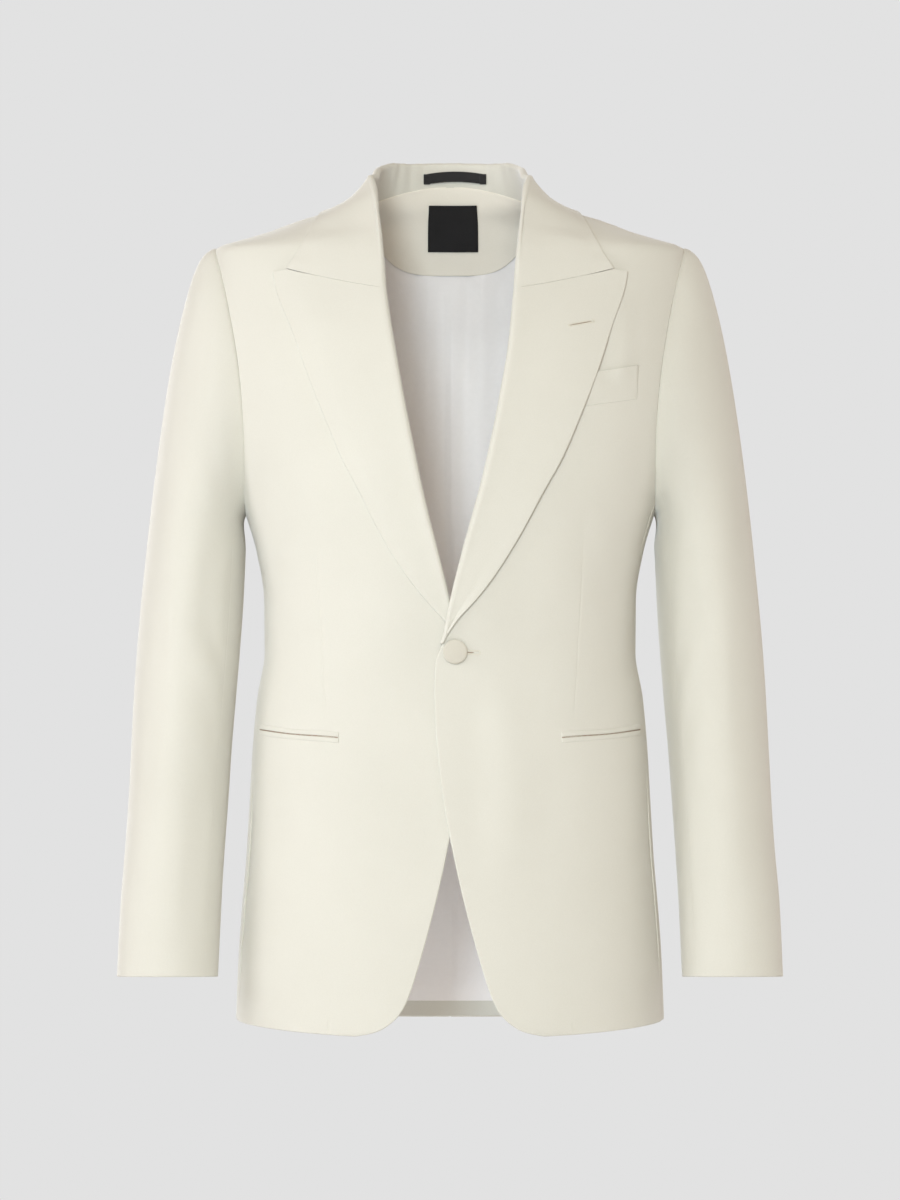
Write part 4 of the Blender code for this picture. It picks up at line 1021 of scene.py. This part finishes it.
def buttonhole_mesh(on_cloth, x0, z0, x1, z1, half_width, stitch_count):
    """A worked buttonhole: close stitches in a raised oval ring round a slit."""
    length = np.hypot(x1 - x0, z1 - z0)
    along = np.array([x1 - x0, z1 - z0]) / length
    count = stitch_count * 4
    straight = length - 2 * half_width
    half_way = straight + np.pi * half_width
    s = np.linspace(0, 1, count, endpoint=False)
    path = s * 2 * half_way
    # one side and one end of the oval; the other half is the same turned round
    gone = path % half_way
    turn = np.clip(gone - straight, 0, None) / half_width - np.pi / 2
    back = np.where(path < half_way, 1, -1)
    out_a, out_b = back * np.cos(turn), back * np.sin(turn)
    reach = np.minimum(gone, straight) - straight / 2
    a = length / 2 + back * reach + half_width * out_a
    b = half_width * out_b
    thread = 0.5 + 0.5 * np.sin(2 * np.pi * s * stitch_count)
    points = []
    for offset, lift in STITCH_PROFILE:
        wide = offset * half_width * 0.62 * (0.9 + 0.1 * thread)
        ring_a, ring_b = a + out_a * wide, b + out_b * wide
        x = x0 + along[0] * ring_a - along[1] * ring_b
        z = z0 + along[1] * ring_a + along[0] * ring_b
        base, normals = on_cloth(x, z)
        high = lift * (0.75 + 0.25 * thread) if lift > 0 else lift
        points.append(base + normals * np.broadcast_to(high, x.shape)[:, None])
    rings = len(STITCH_PROFILE)
    index = np.arange(rings * count).reshape(rings, count)
    after = np.roll(index, -1, axis=1)
    corners = [index, after, np.roll(after, -1, axis=0), np.roll(index, -1, axis=0)]
    faces = np.stack(corners, axis=-1).reshape(-1, 4)
    uv = np.stack(np.broadcast_arrays(path[None, :], np.arange(rings)[:, None] * 0.3), axis=-1)
    points = np.concatenate(points)
    return points, faces, np.zeros(len(faces), int), uv.reshape(-1, 2) * MM


def slit_painted_shade_mesh(on_cloth, x0, z0, x1, z1, half_width):
    """Painted shade for the slit inside a buttonhole: a low dark lens that tapers to both ends."""
    share = np.linspace(0.0, 1.0, 25)[None, :]
    side = np.array([-1.0, -0.5, 0.0, 0.5, 1.0])[:, None]
    wide = half_width * np.sqrt(np.clip(1 - (2 * share - 1) ** 4, 0.02, 1))
    x = x0 + (x1 - x0) * share + 0 * side
    z = z0 + (z1 - z0) * share + side * wide
    points, normals = on_cloth(x, z)
    return raised_mesh(points, normals, 0.06 * (1 - side**2) + 0.02 + 0 * share)


# ---------------------------------------------------------------- inside the back

LAYER_GAP = 1.5
INNER_GAP = 1.4
LABEL_GAP = 1.0
LINING_MIDDLE = -(WALL / 2 + LAYER_GAP + 0.5)
FACING_MIDDLE = LINING_MIDDLE - 1.0 - INNER_GAP
LABEL_MIDDLE = FACING_MIDDLE - 0.5 - LABEL_GAP - 0.4
LINING_ARMHOLE_TURN = 2.2
BACK_HEM_FACING = 14.0
FACING_HALF_WIDTH = 74.0
FACING_TOP_TURN = 84.0
FACING_TOP_RISE = 1.3
FACING_TOP_SUNK = 1.7
FACING_LOWEST = -58.0


def facing_low(x):
    """Height of the neck facing's lower edge, a curve that turns up at both sides."""
    return np.minimum(FACING_LOWEST + 12.0 * (np.abs(x) / 55.0) ** 4, -9.0)


def both_sides(angle, height, side):
    """Points and normals of the back, mirrored where side is below 0."""
    flip = np.stack([np.where(side < 0, -1.0, 1.0)] + [np.ones_like(side)] * 2, axis=-1)
    points, normals = body_surface(angle, height)
    return points * flip, normals * flip


def back_surface(x, height):
    return both_sides(angle_at(np.abs(x), height, 1), height, x)


def facing_mesh():
    share = spread(-1.0, 1.0, 1 / 28, 0.012)[None, :]
    rise = even_shares(16, 0.02)[:, None]
    angle = 90 - FACING_TOP_TURN * np.abs(share)
    top_height = neck_height(angle) + FACING_TOP_RISE
    top_x = np.sign(share) * body_point(angle, top_height)[..., 0]
    low_x = FACING_HALF_WIDTH * share
    low_height = facing_low(low_x)
    x = low_x + (top_x - low_x) * rise
    height = low_height + (top_height - low_height) * rise
    points, normals = back_surface(x, height)
    soft = 0.5 * ripple(x, height, 60.0, 40) * np.sin(np.pi * rise)
    soft = soft * np.sin(np.pi * (share + 1) / 2)
    # the facing's top turns up into the collar's seam
    sunk = FACING_MIDDLE - (FACING_TOP_SUNK + FACING_MIDDLE) * smooth((rise - 0.72) / 0.28)
    points = points + normals * sunk[..., None]
    return shell_mesh(
        points[:, ::-1], normals[:, ::-1], LINING_WALL, (1, 1, 0.4, 1), relief=soft[:, ::-1]
    )


def lining_angle(share, height):
    """Angle of a column of the lining: share 0 is the centre back, 1 its outer edge."""
    outer = outer_angle(height, ARMHOLE_BACK_ANGLE, BACK_SEAM_ANGLE) + LINING_ARMHOLE_TURN
    return 90 + (outer - 90) * share


# Gathers under the facing: x, half width, depth, length of the run downwards
LINING_FOLDS = (
    (-52.0, 5.0, -1.8, 260.0), (-33.0, 4.0, 1.2, 180.0), (-19.0, 4.5, -1.4, 320.0),
    (16.0, 4.0, 1.0, 200.0), (30.0, 5.5, -1.8, 300.0), (48.0, 5.0, 1.2, 160.0),
    (70.0, 7.0, -1.6, 240.0), (-74.0, 7.0, -1.6, 240.0),
)
LINING_SLACK = 0.8
CENTRE_FOLD = 2.2
CENTRE_FOLD_X = -1.5
# Above this height the lining's rows bend to follow the facing's lower edge
LINING_BEND = -130.0
LINING_LAP = 5.0


def lining_mesh():
    """The back lining with its fold down the middle and soft gathers under the facing."""
    half = np.concatenate([np.linspace(0, 0.09, 12), np.linspace(0.11, 1.0, 46)])
    # where each column meets the facing's lower edge, by halving
    low = np.full(len(half), LINING_BEND)
    high = np.full(len(half), -9.0)
    for _ in range(40):
        middle = (low + high) / 2
        under = middle < facing_low(body_point(lining_angle(half, middle), middle)[..., 0])
        low, high = np.where(under, middle, low), np.where(under, high, middle)
    top = low + LINING_LAP
    bottom = HEM_HEIGHT + BACK_HEM_FACING + 0.3
    straight = np.arange(bottom + 6.0, LINING_BEND - 4.0, 6.0)
    rows = np.concatenate([[bottom, bottom + 1.0], straight, [LINING_BEND]])[:, None] + 0 * half
    rise = np.linspace(0, 1, 26)[1:, None] ** 0.9
    rows = np.concatenate([rows, LINING_BEND + (top[None, :] - LINING_BEND) * rise])
    angle = lining_angle(half[None, :], rows)
    height = hem_raised(rows, angle)
    # the other half mirrors this one
    side = np.concatenate([np.ones(len(half)), -np.ones(len(half) - 1)]) + 0 * rows[:, :1]
    angle = np.concatenate([angle[:, ::-1], angle[:, 1:]], axis=1)
    height = np.concatenate([height[:, ::-1], height[:, 1:]], axis=1)
    points, normals = both_sides(angle, height, side)
    x = points[..., 0]
    below_facing = np.clip(FACING_LOWEST - height, 0, None)
    # the centre fold: a step on one side of the middle, opening downwards
    from_fold = x - CENTRE_FOLD_X
    step = smooth((from_fold + 0.012 * (height + 250.0)) / 2.2)
    step = step * np.exp(-np.clip(from_fold, 0, None) / 26.0)
    relief = -CENTRE_FOLD * step * smooth((FACING_LOWEST - height) / 30.0)
    for centre, width, depth, run in LINING_FOLDS:
        fade = np.exp(-below_facing / run) * smooth((-48.0 - height) / 14.0)
        wide = width * (1 + below_facing / 260.0)
        relief = relief + depth * band(x - centre - 0.02 * (height + 60.0), wide) * fade
    relief = relief - LINING_SLACK + 0.6 * ripple(x, height, 110.0, 50)
    relief = np.clip(relief * smooth((height - bottom) / 12.0), -4.5, 0.9)
    points = points + normals * LINING_MIDDLE
    return shell_mesh(points, normals, LINING_WALL, FREE, relief=relief)


def hem_facing_mesh():
    share = spread(-1.0, 1.0, 1 / 30, 0.01)[None, :]
    rise = even_shares(4, 0.08)[:, None]
    angle = 90 - (90 - BACK_SEAM_ANGLE - LINING_ARMHOLE_TURN) * np.abs(share)
    rows = HEM_HEIGHT + 0.5 + (BACK_HEM_FACING - 0.5) * rise
    height = hem_raised(rows + 0 * angle, angle + 0 * rows)
    points, normals = both_sides(angle + 0 * rows, height, share)
    points = points + normals * LINING_MIDDLE
    return shell_mesh(points[:, ::-1], normals[:, ::-1], LINING_WALL, FREE)


LABEL_WALL = 0.7
LABEL_CENTRE = 2.8
LABEL_HALF_WIDTH = 23.0
LABEL_TOP = 5.5
LABEL_HEIGHT = 41.0


def label_mesh():
    x = LABEL_CENTRE + LABEL_HALF_WIDTH * spread(-1.0, 1.0, 1 / 12, 0.03)[None, ::-1]
    height = LABEL_TOP - LABEL_HEIGHT * spread(1.0, 0.0, 1 / 16, 0.02)[:, None]
    points, normals = back_surface(x + 0 * height, height + 0 * x)
    points = points + normals * LABEL_MIDDLE
    soft = 0.35 * ripple(x, height, 40.0, 60)
    return shell_mesh(points, normals, LABEL_WALL, FREE, relief=soft)


LOOP_WALL = 0.9
LOOP_CENTRE = 4.5
LOOP_HALF_LENGTH = 26.0
LOOP_HEIGHT = 26.4
LOOP_WIDTH = 8.5
LOOP_BOW = 2.4
LOOP_SLACK = 2.2
TACK_WALL = 0.5
TACK_HALF_WIDTH = 2.7
STITCH_PITCH = 0.7


def stand_y(x):
    """How far back the inside of the collar's stand is at x."""
    stand = collar_sheet(40, np.linspace(0, 1, 5))[:, 2]
    order = np.argsort(stand[:, 0])
    return np.interp(x, stand[order, 0], stand[order, 1]) - WALL / 2


def loop_mesh():
    """The hanger loop, a tape that stands off the stand between its sewn ends."""
    share = spread(-1.0, 1.0, 1 / 24, 0.015)
    x = LOOP_CENTRE + LOOP_HALF_LENGTH * share
    y = stand_y(x) - 0.8 - LOOP_SLACK * (1 - share**4)
    height = LOOP_HEIGHT + LOOP_BOW * (1 - share**2)
    across = LOOP_WIDTH * np.array([-0.5, -0.42, -0.2, 0.0, 0.2, 0.42, 0.5])[:, None]
    points = np.stack(np.broadcast_arrays(x, y, height + across), axis=-1)[:, ::-1]
    return shell_mesh(points, grid_normals(points), LOOP_WALL, FREE)


def tack_mesh(x):
    """The row of close stitches that holds an end of the hanger loop."""
    across = x + TACK_HALF_WIDTH * np.linspace(1, -1, 5)
    height = np.linspace(21.9, 30.8, 61)[:, None]
    thread = 0.5 + 0.5 * np.sin(height * 2 * np.pi / STITCH_PITCH)
    y = stand_y(x) - 1.35 - 0.1 * thread
    points = np.stack(np.broadcast_arrays(across[None, :], y, height), axis=-1)
    return shell_mesh(points, grid_normals(points), TACK_WALL, FREE)


# ---------------------------------------------------------------- materials


class Nodes:
    """A material's nodes, with short ways to add and join them."""

    def __init__(self, name):
        self.material = bpy.data.materials.new(name)
        self.material.use_nodes = True
        self.tree = self.material.node_tree
        self.shader = self.tree.nodes["Principled BSDF"]

    def feed(self, socket, value):
        """Link the socket to another node's output, or set its value."""
        if isinstance(value, bpy.types.NodeSocket):
            self.tree.links.new(value, socket)
        else:
            socket.default_value = value

    def feed_all(self, node, inputs):
        for name, value in inputs.items():
            self.feed(node.inputs[name.replace("_", " ")], value)
        return node

    def add(self, kind, **inputs):
        return self.feed_all(self.tree.nodes.new(kind), inputs)

    def math(self, operation, *values):
        node = self.tree.nodes.new("ShaderNodeMath")
        node.operation = operation
        for socket, value in zip(node.inputs, values):
            self.feed(socket, value)
        return node.outputs[0]

    def waves(self, vector, pitch, turn):
        """Lines of one pitch (metres) across the cloth's own coordinates."""
        x = self.math("MULTIPLY", vector[0], np.cos(turn) * 2 * np.pi / pitch)
        y = self.math("MULTIPLY", vector[1], np.sin(turn) * 2 * np.pi / pitch)
        return self.math("SINE", self.math("ADD", x, y))


def cloth_material(name, dark, light, roughness, weave, nap, sheen, ribs=None, gloss=0.3):
    """Woven cloth: a crossed weave, a soft nap and a faint unevenness of colour.

    weave and nap are (size in metres, depth in metres).
    """
    m = Nodes(name)
    place = m.add("ShaderNodeTexCoord")
    split = m.add("ShaderNodeSeparateXYZ", Vector=place.outputs["UV"])
    uv = (split.outputs["X"], split.outputs["Y"])
    pitch, depth = weave
    if ribs:
        woven = m.waves(uv, pitch, ribs)
    else:
        warp = m.waves(uv, pitch, 0.6)
        weft = m.waves(uv, pitch, -0.97)
        woven = m.math("MULTIPLY", warp, weft)
    size, nap_depth = nap
    where = place.outputs["Object"]
    fuzz = m.add("ShaderNodeTexNoise", Vector=where, Scale=1 / size, Detail=3.0, Roughness=0.65)
    fuzz = fuzz.outputs["Fac"]
    first = m.add("ShaderNodeBump", Height=woven, Distance=depth)
    second = m.add(
        "ShaderNodeBump", Height=fuzz, Normal=first.outputs["Normal"], Distance=nap_depth
    )
    patches = m.add("ShaderNodeTexNoise", Vector=where, Scale=9.0, Detail=4.0)
    # broad patches and the nap's own speckle share the colour's small range
    speckle = m.math("MULTIPLY", fuzz, 0.5)
    share = m.math("ADD", m.math("MULTIPLY", patches.outputs["Fac"], 0.5), speckle)
    ramp = m.add("ShaderNodeValToRGB", Fac=share)
    for stop, position, colour in zip(ramp.color_ramp.elements, (0.3, 0.7), (dark, light)):
        stop.position = position
        stop.color = (*colour, 1)
    m.feed_all(m.shader, {
        "Normal": second.outputs["Normal"], "Base Color": ramp.outputs["Color"],
        "Roughness": roughness, "Specular IOR Level": gloss,
        "Sheen Weight": sheen, "Sheen Roughness": 0.45,
    })
    return m.material


WOOL = cloth_material(
    "ivory_barathea", (0.66, 0.656, 0.592), (0.705, 0.701, 0.637), 0.85,
    (0.0008, 0.00004), (0.0011, 0.00012), 0.5,
)
# painted light: the same ivory wool made much lighter for the neck facing, which the lamps leave
# too dark inside the neck
WOOL_PAINTED_LIGHTER = cloth_material(
    "ivory_facing_painted_light", (0.85, 0.82, 0.73), (0.89, 0.86, 0.775), 0.88,
    (0.0008, 0.00004), (0.0013, 0.0001), 0.1,
)
# painted shade: a dark brown that stands in for the shadow inside the pocket mouths and buttonhole
# slits
DARK_PAINTED_SHADE = cloth_material(
    "pocket_mouth_painted_shade", (0.33, 0.27, 0.21), (0.38, 0.31, 0.25), 0.95,
    (0.0008, 0.00004), (0.0012, 0.00008), 0.0,
)
BUTTON_WOOL = cloth_material(
    "button_barathea", (0.605, 0.585, 0.51), (0.645, 0.625, 0.55), 0.85,
    (0.0008, 0.00005), (0.0011, 0.00008), 0.1,
)
SATIN = cloth_material(
    "lining_satin", (0.89, 0.88, 0.88), (0.93, 0.92, 0.92), 0.42,
    (0.0006, 0.00002), (0.004, 0.00006), 0.05, ribs=1.35, gloss=0.45,
)
LABEL_BLACK = cloth_material(
    "label_weave", (0.008, 0.008, 0.009), (0.016, 0.016, 0.018), 0.55,
    (0.0007, 0.00005), (0.001, 0.00003), 0.15, ribs=0.01,
)
TAPE_BLACK = cloth_material(
    "loop_tape", (0.009, 0.009, 0.010), (0.018, 0.018, 0.020), 0.6,
    (0.0009, 0.00008), (0.001, 0.00003), 0.2, ribs=1.5607,
)
THREAD = cloth_material(
    "ivory_thread", (0.68, 0.66, 0.575), (0.74, 0.725, 0.64), 0.6,
    (0.0004, 0.00003), (0.0005, 0.00002), 0.05, gloss=0.4,
)


# ---------------------------------------------------------------- the jacket

# Buttonholes and the painted shade of the slits in them: x and height of the inner end, then of the
# outer end
FRONT_HOLE = (7.0, -405.2, 26.6, -405.9)
LAPEL_HOLE = (105.4, -115.5, 128.4, -110.9)
FRONT_SLIT_PAINTED = (8.0, -405.3, 21.5, -405.8)
LAPEL_SLIT_PAINTED = (106.2, -115.3, 126.0, -111.4)


def place(name, mesh, node, outside, inside=None, rim=None, slot="ivory_wool"):
    make_piece(name, mesh, outside, inside, rim)
    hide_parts(node)


def stitches(name, mesh, material):
    make_piece(name, mesh, material)


def pair(name, left, right, node, *materials):
    """A piece on the wearer's left and, mirrored, its fellow on the right."""
    for side, mesh in (("_left", left), ("_right", mirror(right))):
        place(name + side, mesh, node + side, *materials)


def main():
    lined = (WOOL, SATIN, WOOL)
    upper_front, under_front = front_mesh(True), front_mesh(False)
    upper_lapel, under_lapel = lapel_mesh(True), lapel_mesh(False)
    on_upper, on_under, on_lapel = Face(upper_front), Face(under_front), Face(upper_lapel)
    pair("front_cloth", upper_front, under_front, "front", *lined)
    pair("side_cloth", side_mesh(), side_mesh(), "side_body", *lined)
    pair("back_cloth", back_mesh(5), back_mesh(6), "back", *lined)
    pair("lapel_cloth", upper_lapel, under_lapel, "lapel", WOOL)
    place("collar_cloth", collar_mesh(), "collar", WOOL)
    turns = (SLEEVE_BACK_SEAM - 360, SLEEVE_FRONT_SEAM, 3.0)
    sleeves = (sleeve_mesh(*turns, 11), sleeve_mesh(*turns, 12))
    pair("upper_sleeve_cloth", *sleeves, "upper_sleeve", *lined)
    turns = (SLEEVE_FRONT_SEAM, SLEEVE_BACK_SEAM, 4.0)
    sleeves = (sleeve_mesh(*turns, 13), sleeve_mesh(*turns, 14))
    pair("under_sleeve_cloth", *sleeves, "under_sleeve", *lined)
    pair("pocket_jets", pocket_mesh(on_upper), pocket_mesh(on_under), "hip_pocket", WOOL, DARK_PAINTED_SHADE)
    place("breast_welt_cloth", welt_mesh(on_upper), "breast_welt", WOOL)
    front_hole = buttonhole_mesh(on_upper, *FRONT_HOLE, 1.5, 30)
    lapel_hole = buttonhole_mesh(on_lapel, *LAPEL_HOLE, 0.9, 34)
    stitches("front_buttonhole", front_hole, THREAD)
    stitches("lapel_buttonhole", lapel_hole, THREAD)
    # the buttonhole slits are dark lenses of painted shade, not cloth
    stitches("front_buttonhole_slit_painted_shade", slit_painted_shade_mesh(on_upper, *FRONT_SLIT_PAINTED, 0.55), DARK_PAINTED_SHADE)
    stitches("lapel_buttonhole_slit_painted_shade", slit_painted_shade_mesh(on_lapel, *LAPEL_SLIT_PAINTED, 0.42), DARK_PAINTED_SHADE)
    button = make_button(on_upper, BUTTON_WOOL)
    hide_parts("button")
    place("neck_facing_cloth", facing_mesh(), "neck_facing", WOOL_PAINTED_LIGHTER)
    place("back_lining_satin", lining_mesh(), "back_lining", SATIN, slot="lining")
    place("back_hem_facing_cloth", hem_facing_mesh(), "back_hem_facing", WOOL)
    place("label_patch", label_mesh(), "label", LABEL_BLACK, slot="black_label")
    place("hanger_loop_tape", loop_mesh(), "hanger_loop", TAPE_BLACK, slot="black_loop")
    for side, x in (("left", 30.2), ("right", -21.2)):
        stitches("loop_tack_" + side, tack_mesh(x), TAPE_BLACK)


main()


# ---------------------------------------------------------------- light, floor and camera


CHEST = Vector((0.0, -0.1, -0.35))


def lamp(name, spot, size, watts, colour=(1, 1, 1)):
    """A round lamp that faces the jacket's chest."""
    data = bpy.data.lights.new(name, "AREA")
    data.shape = "DISK"
    data.size = size
    data.energy = watts
    data.color = colour
    light = add_object(name, data)
    light.location = spot
    light.rotation_euler = (CHEST - Vector(spot)).to_track_quat("-Z", "Y").to_euler()


lamp("front", (-0.42, -2.6, 0.15), 0.55, 30.0, (0.76, 0.90, 1.0))
lamp("wide", (-0.25, -3.9, 1.3), 2.2, 60.0, (0.80, 0.70, 0.56))
lamp("left_side", (-2.8, -1.1, 0.4), 1.6, 35.0, (0.96, 0.95, 1.0))
lamp("right_side", (3.0, -0.6, 0.2), 2.0, 15.0)
lamp("back_left", (-2.2, 4.6, 1.0), 1.6, 105.0)
lamp("back_right", (2.6, 4.2, 0.6), 1.6, 45.0)

# the background is seen as plain pale grey, and lights the jacket more dimly than it looks
world = bpy.data.worlds.new("studio")
world.use_nodes = True
tree = world.node_tree
seen = tree.nodes["Background"]
seen.inputs["Color"].default_value = (0.76, 0.76, 0.76, 1)
ambient = tree.nodes.new("ShaderNodeBackground")
ambient.inputs["Color"].default_value = (0.385, 0.32, 0.26, 1)
ray = tree.nodes.new("ShaderNodeLightPath")
pick = tree.nodes.new("ShaderNodeMixShader")
sources = (ray.outputs["Is Camera Ray"], ambient.outputs[0], seen.outputs[0])
for source, socket in zip(sources, pick.inputs):
    tree.links.new(source, socket)
tree.links.new(pick.outputs[0], tree.nodes["World Output"].inputs["Surface"])
bpy.context.scene.world = world

bpy.ops.mesh.primitive_circle_add(vertices=96, radius=2.2, fill_type="NGON", location=(0, 0, -1.2))
floor = bpy.context.object
floor.name = "floor"
pale = bpy.data.materials.new("floor_paper")
pale.use_nodes = True
paper = pale.node_tree.nodes["Principled BSDF"].inputs
paper["Base Color"].default_value = (0.85, 0.85, 0.85, 1)
paper["Roughness"].default_value = 0.9
floor.data.materials.append(pale)

lens = bpy.data.cameras.new("photo_camera")
lens.sensor_fit = "VERTICAL"
lens.sensor_height = 36.0
lens.lens = 165.7
camera = add_object("photo_camera", lens)
camera.location = (0.0, -5.0, -0.3593)
camera.rotation_euler = (np.pi / 2, 0.0, 0.0)
bpy.context.scene.camera = camera
bpy.context.scene.view_settings.view_transform = "Standard"
